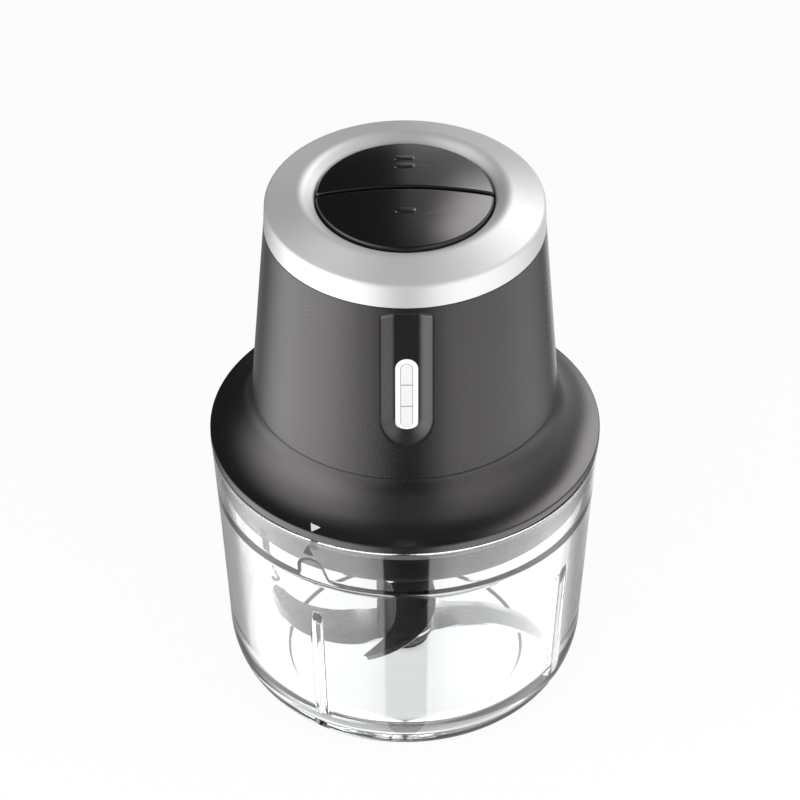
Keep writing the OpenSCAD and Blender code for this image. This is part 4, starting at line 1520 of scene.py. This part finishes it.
@dataclass
class Housing:
    """The tapered housing with the gauge recess in front and the port behind."""

    seam_r: float = SEAM_R
    seam_z: float = SEAM_Z
    top_r: float = TOP_R
    top_z: float = TOP_Z
    wall: float = 2.4
    recess_w: float = 20.8
    floor_w: float = 9.6
    recess_d: float = RECESS_D
    recess_top: float = 193.8
    recess_end: float = 2.4
    recess_low: float = 150.0
    recess_foot: float = 136.5
    recess_half: float = 20.0
    recess_round: float = 2.6
    fine_z: float = 190.0
    port_z: float = 145.2
    port_w: float = 17.0
    port_h: float = 8.0
    port_d: float = 2.2
    port_corner: float = 0.9
    port_out: float = 6.0
    socket_w: float = 9.2
    socket_h: float = 3.5
    socket_d: float = 7.5
    front: float = -90.0
    seam_gap: float = 0.22

    def radius(self, z: float) -> float:
        """Radius of the outer wall at a height."""
        return self.seam_r - (self.seam_r - self.top_r) * (z - self.seam_z) / (self.top_z - self.seam_z)

    def tilt(self) -> float:
        """Lean of the wall in radians."""
        return math.atan((self.seam_r - self.top_r) / (self.top_z - self.seam_z))

    def on_wall(self, z: float, turn: float = 0.0) -> Matrix:
        """The frame on the wall at a height: X across, Y up the slope and Z outwards.

        Args:
            z: The height.
            turn: Degrees round from the front.

        Returns:
            The frame.
        """
        spin = Matrix.Rotation(math.radians(turn), 4, "Z")
        lean = Matrix.Rotation(math.pi / 2 - self.tilt(), 4, "X")
        return spin @ Matrix.Translation((0, -self.radius(z), z)) @ lean

    def recess(self, x: float, z: float) -> float:
        """Where the recess's faces lie against the front tangent plane.

        Args:
            x: Distance to the side of its middle.
            z: Height.

        Returns:
            The distance from the plane, negative inwards.
        """
        up = (z - self.recess_low) / math.cos(self.tilt())
        side = abs(x) if up > 0 else math.hypot(x, up)
        slope = self.recess_d * 2 / (self.recess_w - self.floor_w)
        rise = -soft_min(0.0, -(side - self.floor_w / 2) * slope, 0.5)
        end = max(0.0, (z - self.recess_top + self.recess_end) / self.recess_end) * self.recess_d
        power = self.recess_round
        return (rise**power + end**power) ** (1 / power) - self.recess_d

    def place(self, r: float, z: float, a: float) -> Spot:
        """Sets the wall inwards where the recess is.

        Args:
            r: Radius of the plain turned point.
            z: Its height.
            a: Its angle in degrees.

        Returns:
            Where the point stands.
        """
        x, y = polar(r, a)
        off = apart(a, self.front)
        if off > self.recess_half or z < self.recess_foot:
            return x, y, z
        outer = self.radius(z)
        plane = -outer * (1 - math.cos(math.radians(off))) * math.cos(self.tilt())
        shift = soft_min(plane, self.recess(outer * math.sin(math.radians(off)), z), 0.3) - plane
        return x, y - shift * math.cos(self.tilt()), z + shift * math.sin(self.tilt())

    def port_tools(self) -> bpy.types.Object:
        """The shapes that the port's pocket and the socket's opening are cut with.

        Returns:
            One object with both.
        """
        here = self.on_wall(self.port_z, 180)
        corner, floor, out = self.port_corner, -self.port_d, self.port_out
        pocket = []
        for x, y, start in ((1, 1, 0), (-1, 1, 90), (-1, -1, 180), (1, -1, 270)):
            centre = (x * (self.port_w / 2 - corner), y * (self.port_h / 2 - corner))
            pocket += arc(centre, (corner, corner), start, start + 90, 6)
        block = [[(0, 0, floor)], at_level(pocket, floor), at_level(pocket, out), [(0, 0, out)]]
        deep, open_end = -self.socket_d, floor + 1
        hole = [lying_pill(self.socket_h, self.socket_w, w) for w in (deep, open_end)]
        hole = [[(0, 0, deep)], *hole, [(0, 0, open_end)]]
        return joined("port_tools", [loft(moved(part, here)) for part in (block, hole)])

    def build(self) -> None:
        """Builds the housing and cuts the port."""
        heights = spread(self.seam_z + 0.8, self.recess_foot - 0.5, 8)
        heights += spread(self.recess_foot + 0.5, self.fine_z, 78)
        heights += spread(self.fine_z + 0.3, self.top_z - 0.8, 24)
        outer = [(self.radius(z), z) for z in heights]
        inner = [(r - self.wall, z) for r, z in outer]
        low, high = self.seam_z + self.seam_gap, self.top_z - self.seam_gap
        foot = eased(
            [
                (self.seam_r - self.wall, low, 0),
                (self.seam_r - 0.03, low, 0.3),
                (self.radius(low + 0.5), low + 0.5, 0),
            ]
        )
        rim = eased(
            [
                (self.radius(high - 0.4), high - 0.4, 0),
                (self.radius(high), high, 0.2),
                (self.top_r - 0.6, high, 0),
                (self.top_r - self.wall, high, 0),
            ]
        )
        line = foot + outer[1:] + rim + inner[::-1]
        angles = round_angles(140, (self.front, 15.0, 100))
        item = solid("housing_wall", *loft(turned(line, angles, self.place), ring=True))
        tools = self.port_tools()
        cut = item.modifiers.new("port", "BOOLEAN")
        cut.operation, cut.solver, cut.object = "DIFFERENCE", "EXACT", tools
        take_result(item, cut)
        item.data.set_sharp_from_angle(angle=math.radians(CREASE))
        bpy.data.objects.remove(tools)
        settle(item, "head", Finish.SHELL, ["housing_shell"])


@dataclass
class TrimRing:
    """The silver ring round the buttons."""

    band_r: float = TOP_R
    band_z: float = TOP_Z
    crease_r: float = 48.8
    crease_z: float = 205.0
    crown_r: float = 36.0
    top: float = 209.3
    well_r: float = 31.4
    deck_z: float = 194.5
    spigot_r: float = 46.7
    wall: float = 1.8

    def build(self) -> None:
        """Builds the ring."""
        line = eased(
            [
                (self.spigot_r, self.deck_z, 0),
                (self.spigot_r, self.band_z, 0),
                (self.band_r, self.band_z + 0.05, 0.2),
                (self.crease_r, self.crease_z, 1.1),
                (self.crown_r, self.top, 2.2),
                (self.well_r + 0.5, self.crease_z + 1.7, 0.5),
                (self.well_r, self.crease_z + 1.1, 0.4),
                (self.well_r, self.deck_z, 0),
                (self.well_r + self.wall, self.deck_z, 0),
                (self.well_r + self.wall, self.crease_z - 0.4, 0.4),
                (self.crown_r, self.top - self.wall - 0.6, 0.4),
                (self.crease_r - 3.2, self.crease_z - self.wall, 0.4),
                (self.spigot_r - self.wall, self.band_z, 0),
                (self.spigot_r - self.wall, self.deck_z, 0),
            ],
            7,
        )
        item = solid("silver_ring", *loft(turned(line, round_angles(240)), ring=True))
        settle(item, "head", Finish.SILVER, ["trim_ring"])


@dataclass
class Buttons:
    """The two half buttons on their dome, with raised dashes."""

    radius: float = 30.9
    gap: float = 1.4
    rim_z: float = 207.7
    dome_h: float = 3.4
    low: float = 198.5
    shell: float = 2.2
    edge: float = 0.8
    corner: float = 1.2
    stem_y: float = 15.0
    stem_r: float = 4.0
    stem_z: float = 191.4
    dash_w: float = 7.6
    dash_h: float = 2.6
    dash_rise: float = 0.46
    front_dashes: tuple[float, ...] = (-12.8,)
    rear_dashes: tuple[float, ...] = (13.3, 18.7)
    travel: float = 3.0
    coil_r: float = 5.6
    coil_turns: int = 4
    wire_r: float = 0.48

    def dome_r(self) -> float:
        """Radius of the dome's sphere."""
        return (self.radius**2 + self.dome_h**2) / (2 * self.dome_h)

    def dome_centre(self) -> float:
        """Height of the centre of the dome's sphere."""
        return self.rim_z + self.dome_h - self.dome_r()

    def dome(self, x: float, y: float) -> float:
        """Height of the dome over a place."""
        return self.dome_centre() + math.sqrt(self.dome_r() ** 2 - x * x - y * y)

    def outline(self, inset: float, side: int) -> Profile:
        """The outline of a half disc, drawn inside its edge.

        Args:
            inset: How far inside.
            side: -1 in front and 1 behind.

        Returns:
            Its points in X and Y.
        """
        r, start = self.radius - inset, self.gap / 2 + inset
        reach = math.sqrt(max(r * r - start * start, 0.01))
        sweep = math.degrees(math.atan2(start, reach))
        corner = min(self.corner, reach / 3)
        back = math.degrees(corner / r)
        line = [(x, start) for x in spread(-reach + corner, reach - corner, 24)]
        first, tip = Vector((reach - corner, start)), Vector((reach, start))
        round_tip = bend(first, tip, Vector(polar(r, sweep + back)), 6)
        line += [tuple(p) for p in round_tip[1:]]
        line += [polar(r, a) for a in spread(sweep + back, 180 - sweep - back, 56)[1:]]
        line += [(-p.x, p.y) for p in round_tip[::-1][1:-1]]
        return [(x, side * y) for x, y in line]

    def over_stem(self, loops: Loops, side: int) -> Loops:
        """Loops moved from the axis to the stem of one button."""
        return [[(x, y + side * self.stem_y, z) for x, y, z in loop] for loop in loops]

    def half(self, name: str, side: int) -> None:
        """Builds one half button and stands it for its node.

        Args:
            name: Name of the node and its body.
            side: -1 in front and 1 behind.
        """
        insets = [0.0, 0.04, 0.12, 0.25, 0.42, 0.62, 0.8, 1.1, 1.8, 3.0, 5.0, 7.5, 10.0, 12.5, 14.0]
        under = self.rim_z - self.shell
        middle = (0.0, side * (self.radius + self.gap / 2) / 2)
        flat = self.outline(self.shell, side)
        loops = [[(*middle, under)], at_level(flat, under), at_level(flat, self.low)]
        loops.append(at_level(self.outline(0.3, side), self.low))
        loops.append(at_level(self.outline(0.0, side), self.low + 0.3))
        for inset in insets:
            drop = self.edge - math.sqrt(self.edge**2 - max(0.0, self.edge - inset) ** 2)
            loops.append([(x, y, self.dome(x, y) - drop) for x, y in self.outline(inset, side)])
        loops.append([(*middle, self.dome(*middle))])
        low, high, r = self.stem_z, under + 1, self.stem_r
        stem = eased([(0, low, 0), (r, low, 0.5), (r, high, 0), (0, high, 0)])
        shaft = self.over_stem(turned(stem, round_angles(40)), side)
        item = joined(name + "_cap", [loft(loops), loft(shaft)], 40)
        settle(item, name, Finish.BUTTON, [name])

    def spring(self, button: str, side: int) -> None:
        """Builds the return spring under a button, which rides on the button's body.

        Args:
            button: Name of the button's body.
            side: -1 in front and 1 behind.
        """
        node = button.replace("button", "spring")
        low, high = (corner[2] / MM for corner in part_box(node))
        start, rise = low + self.wire_r, high - low - 2 * self.wire_r
        wire = [polar(self.wire_r, a) for a in spread(0, 360, 12)[:-1]]
        loops = []
        for turn in spread(0, self.coil_turns, 32 * self.coil_turns):
            z = start + rise * min(max((turn - 0.5) / (self.coil_turns - 1), 0.0), 1.0)
            loops.append([(*polar(self.coil_r + out, 360 * turn), z + up) for out, up in wire])
        ends = [[(self.coil_r, 0.0, z)] for z in (start, start + rise)]
        loops = self.over_stem([ends[0], *loops, ends[1]], side)
        item = solid(node + "_coil", *loft(loops), crease=50)
        settle(item, button, Finish.STEEL, [node])
        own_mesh(item)

    def dash_tree(self) -> ShapeTree:
        """A tree that sets a copy of a shape on each point, square to the dome.

        Returns:
            The tree, which takes a mesh of points.
        """
        tree = ShapeTree("dome_marks", {"Shape": SocketKind.SHAPE, "Dome": SocketKind.NUMBER})
        shape = tree.add(
            "GeometryNodeObjectInfo", inputs={"Object": tree.size("Shape")}, output="Geometry"
        )
        here = tree.add("GeometryNodeInputPosition")
        centre = tree.add("ShaderNodeCombineXYZ", inputs={2: tree.size("Dome")})
        lean = tree.add("ShaderNodeVectorMath", {"operation": "SUBTRACT"}, {0: here, 1: centre})
        turn = tree.add("FunctionNodeAlignRotationToVector", {"axis": "Z"}, {"Vector": lean})
        tree.close(
            tree.add(
                "GeometryNodeInstanceOnPoints",
                inputs={"Points": tree.size("Geometry"), "Instance": shape, "Rotation": turn},
            )
        )
        return tree

    def dashes(self) -> None:
        """Builds the raised dashes: one in front and two behind."""
        rows = [(0.0, -1.0), (0.0, 0.0), (0.06, 0.35), (0.2, 0.68), (0.42, 0.88), (0.75, 1.0)]
        loops = [[(0.0, 0.0, -self.dash_rise)]]
        for inset, level in rows:
            width, height = self.dash_h - 2 * inset, self.dash_w - 2 * inset
            loops.append(lying_pill(width, height, level * self.dash_rise))
        loops.append([(0.0, 0.0, self.dash_rise)])
        shape = solid("dash_shape", *loft(loops), crease=50)
        tree = self.dash_tree()
        sizes = {"Shape": shape, "Dome": self.dome_centre() * MM, "Finish": Finish.DASH.material()}
        for name, body, places in (
            ("front_dash", "front_button", self.front_dashes),
            ("rear_dashes", "rear_button", self.rear_dashes),
        ):
            item = solid(name, [(0.0, y, self.dome(0.0, y)) for y in places], [])
            tree.run(item, sizes)
            settle(item, body, Finish.DASH)
        bpy.data.objects.remove(shape)

    def build(self) -> None:
        """Builds both halves, their springs and their dashes."""
        for name, side in (("front_button", -1), ("rear_button", 1)):
            self.half(name, side)
            self.spring(name, side)
        self.dashes()


@dataclass
class ChargeGauge:
    """The lit window in the recess: a white rim and three lens segments."""

    housing: Housing
    width: float = 7.9
    height: float = 30.0
    centre_z: float = 158.6
    rim: float = 1.8
    thick: float = 2.6
    proud: float = 0.3
    lens_proud: float = 0.5
    split: float = 0.4

    def segment(self, low: float, high: float) -> Shape:
        """One lens segment between two heights of the window, with its edges eased.

        Args:
            low: Height of its lower end from the window's centre.
            high: Height of its upper end.

        Returns:
            Points and faces.
        """
        width, height = self.width - 2 * self.rim - 0.3, self.height - 2 * self.rim - 0.3
        floor, top = -self.housing.recess_d - self.thick, -self.housing.recess_d + self.lens_proud
        middle = (0.0, (low + high) / 2)
        loops = [[(*middle, floor)]]
        rows = [(0, floor), (0, top - 0.25), (0.06, top - 0.1), (0.2, top - 0.02), (0.45, top)]
        for inset, level in rows:
            bounds = (low + inset, high - inset)
            ring = pill(width - 2 * inset, height - 2 * inset, level, 16)
            loops.append([(x, min(max(y, bounds[0]), bounds[1]), z) for x, y, z in ring])
        loops.append([(*middle, top)])
        return loft(moved(loops, self.housing.on_wall(self.centre_z)))

    def build(self) -> None:
        """Builds the rim and the lenses."""
        floor, top = -self.housing.recess_d - self.thick, -self.housing.recess_d + self.proud
        inside = 2 * self.rim
        rows = [(0, floor), (0, top - 0.3), (0.1, top - 0.12), (0.3, top - 0.03), (0.7, top)]
        rows += [(inside - 0.5, top), (inside - 0.15, top - 0.06)]
        rows += [(inside, top - 0.25), (inside, floor)]
        loops = [pill(self.width - d, self.height - d, level, 16) for d, level in rows]
        loops = moved(loops, self.housing.on_wall(self.centre_z))
        item = solid("gauge_rim", *loft(loops, ring=True), crease=50)
        settle(item, "head", Finish.RIM, ["gauge_frame"])
        reach = self.height / 2 - self.rim
        cuts = [(i * 2 / 3 - 1) * reach for i in range(4)]
        parts = [self.segment(a + self.split / 2, b - self.split / 2) for a, b in zip(cuts, cuts[1:])]
        item = joined("gauge_lenses", parts, 50)
        settle(item, "head", Finish.LENS, ["gauge_lens"])


def dress_nodes() -> None:
    """Gives every CAD node that still shows the finish of its material slot."""
    for row in frame["record"]["subparts"]:
        node = frame["nodes"][row["node"]]
        if node.hide_render:
            continue
        finish = SLOT_FINISH[row["material_slot"]].material()
        if not node.material_slots:
            node.data.materials.append(finish)
        for slot in node.material_slots:
            slot.material = finish
        LOG.info("%s keeps its CAD shape", node.name)


@dataclass
class Studio:
    """The floor, the lamps, the surroundings and the camera."""

    target: Spot = (0.0, 0.0, 0.1168)
    distance: float = 1.6
    azimuth: float = -0.7
    elevation: float = 38.85
    lens: float = 201.1
    sensor: float = 36.0
    shift: float = -0.00625
    half_width: float = 6.0
    floor_glow: float = 0.93
    floor_greys: Point = (0.84, 0.86)
    floor_cloud: float = 300.0
    peak: float = 4.0
    gap_level: float = 0.04

    def camera(self) -> None:
        """Places the camera where the photograph was taken from."""
        a, e = math.radians(self.azimuth), math.radians(self.elevation)
        back = Vector((math.sin(a) * math.cos(e), -math.cos(a) * math.cos(e), math.sin(e)))
        data = bpy.data.cameras.new("camera")
        data.lens, data.sensor_width, data.shift_x = self.lens, self.sensor, self.shift
        data.dof.use_dof = False
        item = bpy.data.objects.new("camera", data)
        item.location = Vector(self.target) + back * self.distance
        item.rotation_euler = (-back).to_track_quat("-Z", "Y").to_euler()
        bpy.context.scene.collection.objects.link(item)
        bpy.context.scene.camera = item

    @staticmethod
    def rays(tree: Tree) -> tuple[Wire, Wire, Wire]:
        """Masks of the rays that reach a face of the studio.

        Args:
            tree: The tree of that face.

        Returns:
            1 for a ray of the camera or through glass, 1 for a ray that was mirrored on its way, and 1
            for a ray that comes straight off a glossy face.
        """
        path = tree.add("ShaderNodeLightPath", output="Is Camera Ray")
        seen = tree.maths("MAXIMUM", path, path.out("Is Transmission Ray"))
        mirrored = tree.maths("GREATER_THAN", path.out("Glossy Depth"), 0.5)
        return seen, mirrored, path.out("Is Glossy Ray")

    def floor(self) -> None:
        """Lays a white table top that shows as background and keeps the shadow."""
        w = self.half_width / MM
        item = solid("table_top", [(-w, -w, 0), (w, -w, 0), (w, w, 0), (-w, w, 0)], [(0, 1, 2, 3)])
        item.visible_glossy = False
        tree = FinishTree("table_white")
        seen, mirrored, _ = self.rays(tree)
        greys = [(grey, grey, grey) for grey in self.floor_greys]
        cloud = tree.mix(tree.noise(self.floor_cloud), *greys)
        matt = tree.add("ShaderNodeBsdfDiffuse", inputs={"Color": cloud})
        glow = tree.add("ShaderNodeEmission", inputs={"Color": (1, 1, 1, 1), "Strength": 1.0})
        both = tree.add("ShaderNodeMixShader", inputs={0: seen * self.floor_glow, 1: matt, 2: glow})
        clear = tree.add("ShaderNodeBsdfTransparent")
        whole = tree.add("ShaderNodeMixShader", inputs={0: mirrored, 1: both, 2: clear})
        tree.add("ShaderNodeOutputMaterial", inputs={"Surface": whole})
        tree.material.cycles.emission_sampling = "NONE"
        item.data.materials.append(tree.material)

    def mirrored_room(self, tree: Tree) -> Wire:
        """How bright the room is in reflections, by direction.

        A broad panel stands on the left, a dimmer wall on the right and a lamp behind on the right.
        It is dark in front, behind on the left and overhead. Low down behind there is a faint light,
        stronger on the right, and a pale strip along the horizon. The table is bright, with a dark gap
        in front, and dims behind.

        Args:
            tree: The world's tree.

        Returns:
            The brightness, where 1 is white.
        """
        axes = tree.add(
            "ShaderNodeSeparateXYZ", inputs={0: tree.add("ShaderNodeTexCoord", output="Generated")}
        )
        height = axes.out(2)
        bearing = tree.maths("ARCTAN2", axes, 0.0 - axes.out(1)) * (180 / math.pi)
        off = tree.maths("ABSOLUTE", bearing)

        def turned_to(low: float, high: float) -> Wire:
            """A rise between two bearings in degrees, counted from the front."""
            return tree.eased_step(off, low, high)

        def raised_to(low: float, high: float) -> Wire:
            """A rise between two heights on the unit sphere."""
            return tree.eased_step(height, low, high)

        under, deep = raised_to(-0.25, -0.45), raised_to(-0.6, -0.68)
        fade = 1.0 - 0.45 * raised_to(0.1, 0.8) - 0.5 * raised_to(0.75, 0.97)
        upper_left = 2.55 * turned_to(8, 60) * turned_to(140, 78)
        lower_left = 2.15 * (0.3 + 0.7 * turned_to(18, 70)) * turned_to(145, 95) * turned_to(4, 26)
        left = tree.blend(upper_left, lower_left, under)
        upper_right = 1.0 - 0.45 * turned_to(40, 100)
        right = turned_to(10, 38) * tree.blend(1.1 * upper_right, 0.95 * turned_to(150, 100), under)
        lamp = 3.7 * turned_to(120, 143) * turned_to(173, 160)
        lamp = lamp * raised_to(0.22, 0.6) * raised_to(0.9, 0.78)
        side = tree.eased_step(bearing, -3, 3)
        room = 0.04 + 0.14 * turned_to(140, 60) * raised_to(-0.2, 0.1) * raised_to(0.92, 0.8)
        room = room + under * (0.15 * turned_to(100, 150) + (0.15 + 0.95 * side) * turned_to(146, 161))
        room = room + fade * tree.blend(left, right, side) + lamp * side
        room = room + 0.8 * turned_to(163, 175) * raised_to(-0.3, -0.05) * raised_to(0.2, 0.05)
        table = 2.7 * (0.7 + 0.3 * turned_to(15, 34)) * (1.0 - 0.85 * turned_to(95, 145))
        return tree.blend(room, tree.blend(self.gap_level, table, turned_to(13.6, 15.6)), deep)

    def surroundings(self) -> None:
        """White for the camera and through glass, and the mirrored room in reflections."""
        world = bpy.data.worlds.new("studio")
        world.use_nodes = True
        bpy.context.scene.world = world
        tree = Tree(world.node_tree)
        tree.tree.nodes.clear()
        room = self.mirrored_room(tree) / self.peak
        room = tree.mix(room, (0.0, 0.0, 0.0), (self.peak,) * 3)
        seen, mirrored, glossy = self.rays(tree)
        open_room = tree.mix(seen, (0.4, 0.4, 0.4), (1.0, 1.0, 1.0))
        sky = tree.mix(tree.maths("MAXIMUM", mirrored, glossy), open_room, room)
        ground = tree.add("ShaderNodeBackground", inputs={"Color": sky, "Strength": 1.0})
        tree.add("ShaderNodeOutputWorld", inputs={"Surface": ground})

    def lamp(self, name: str, place: Spot, aim: Spot, size: Point, level: float) -> None:
        """Adds a soft panel lamp.

        Args:
            name: Name of the lamp.
            place: Its centre in metres.
            aim: The point that it faces.
            size: Its width and height in metres.
            level: Brightness of its face, where 1 is white.
        """
        data = bpy.data.lights.new(name, "AREA")
        data.shape, data.size, data.size_y = "RECTANGLE", *size
        data.energy = level * math.pi * size[0] * size[1]
        item = bpy.data.objects.new(name, data)
        item.location = place
        item.rotation_euler = (Vector(aim) - Vector(place)).to_track_quat("-Z", "Y").to_euler()
        item.visible_camera = item.visible_transmission = item.visible_glossy = False
        bpy.context.scene.collection.objects.link(item)

    def build(self) -> None:
        """Sets up the whole studio."""
        bpy.context.scene.view_settings.view_transform = "Standard"
        self.camera()
        self.floor()
        self.surroundings()
        self.lamp("left_panel", (-0.33, -0.22, 0.28), (0, 0, 0.16), (0.45, 0.4), 2.0)
        self.lamp("right_panel", (0.38, -0.16, 0.28), (0, 0, 0.16), (0.45, 0.4), 2.3)
        self.lamp("front_panel", (0, -0.46, 0.32), (0, 0, 0.2), (0.5, 0.4), 2.2)
        self.lamp("top_panel", (0, 0.1, 0.9), (0, 0, 0.15), (0.9, 0.9), 0.3)


def main() -> None:
    """Builds the studio and every piece in order."""
    logging.basicConfig(level=logging.INFO, format="%(message)s")
    housing = Housing()
    head = (Tub(), Skirt(), housing, TrimRing(), Buttons(), ChargeGauge(housing))
    for assembly in (Studio(), Bowl(), BladeSet(), *head):
        assembly.build()
    dress_nodes()


if __name__ == "__main__":
    main()
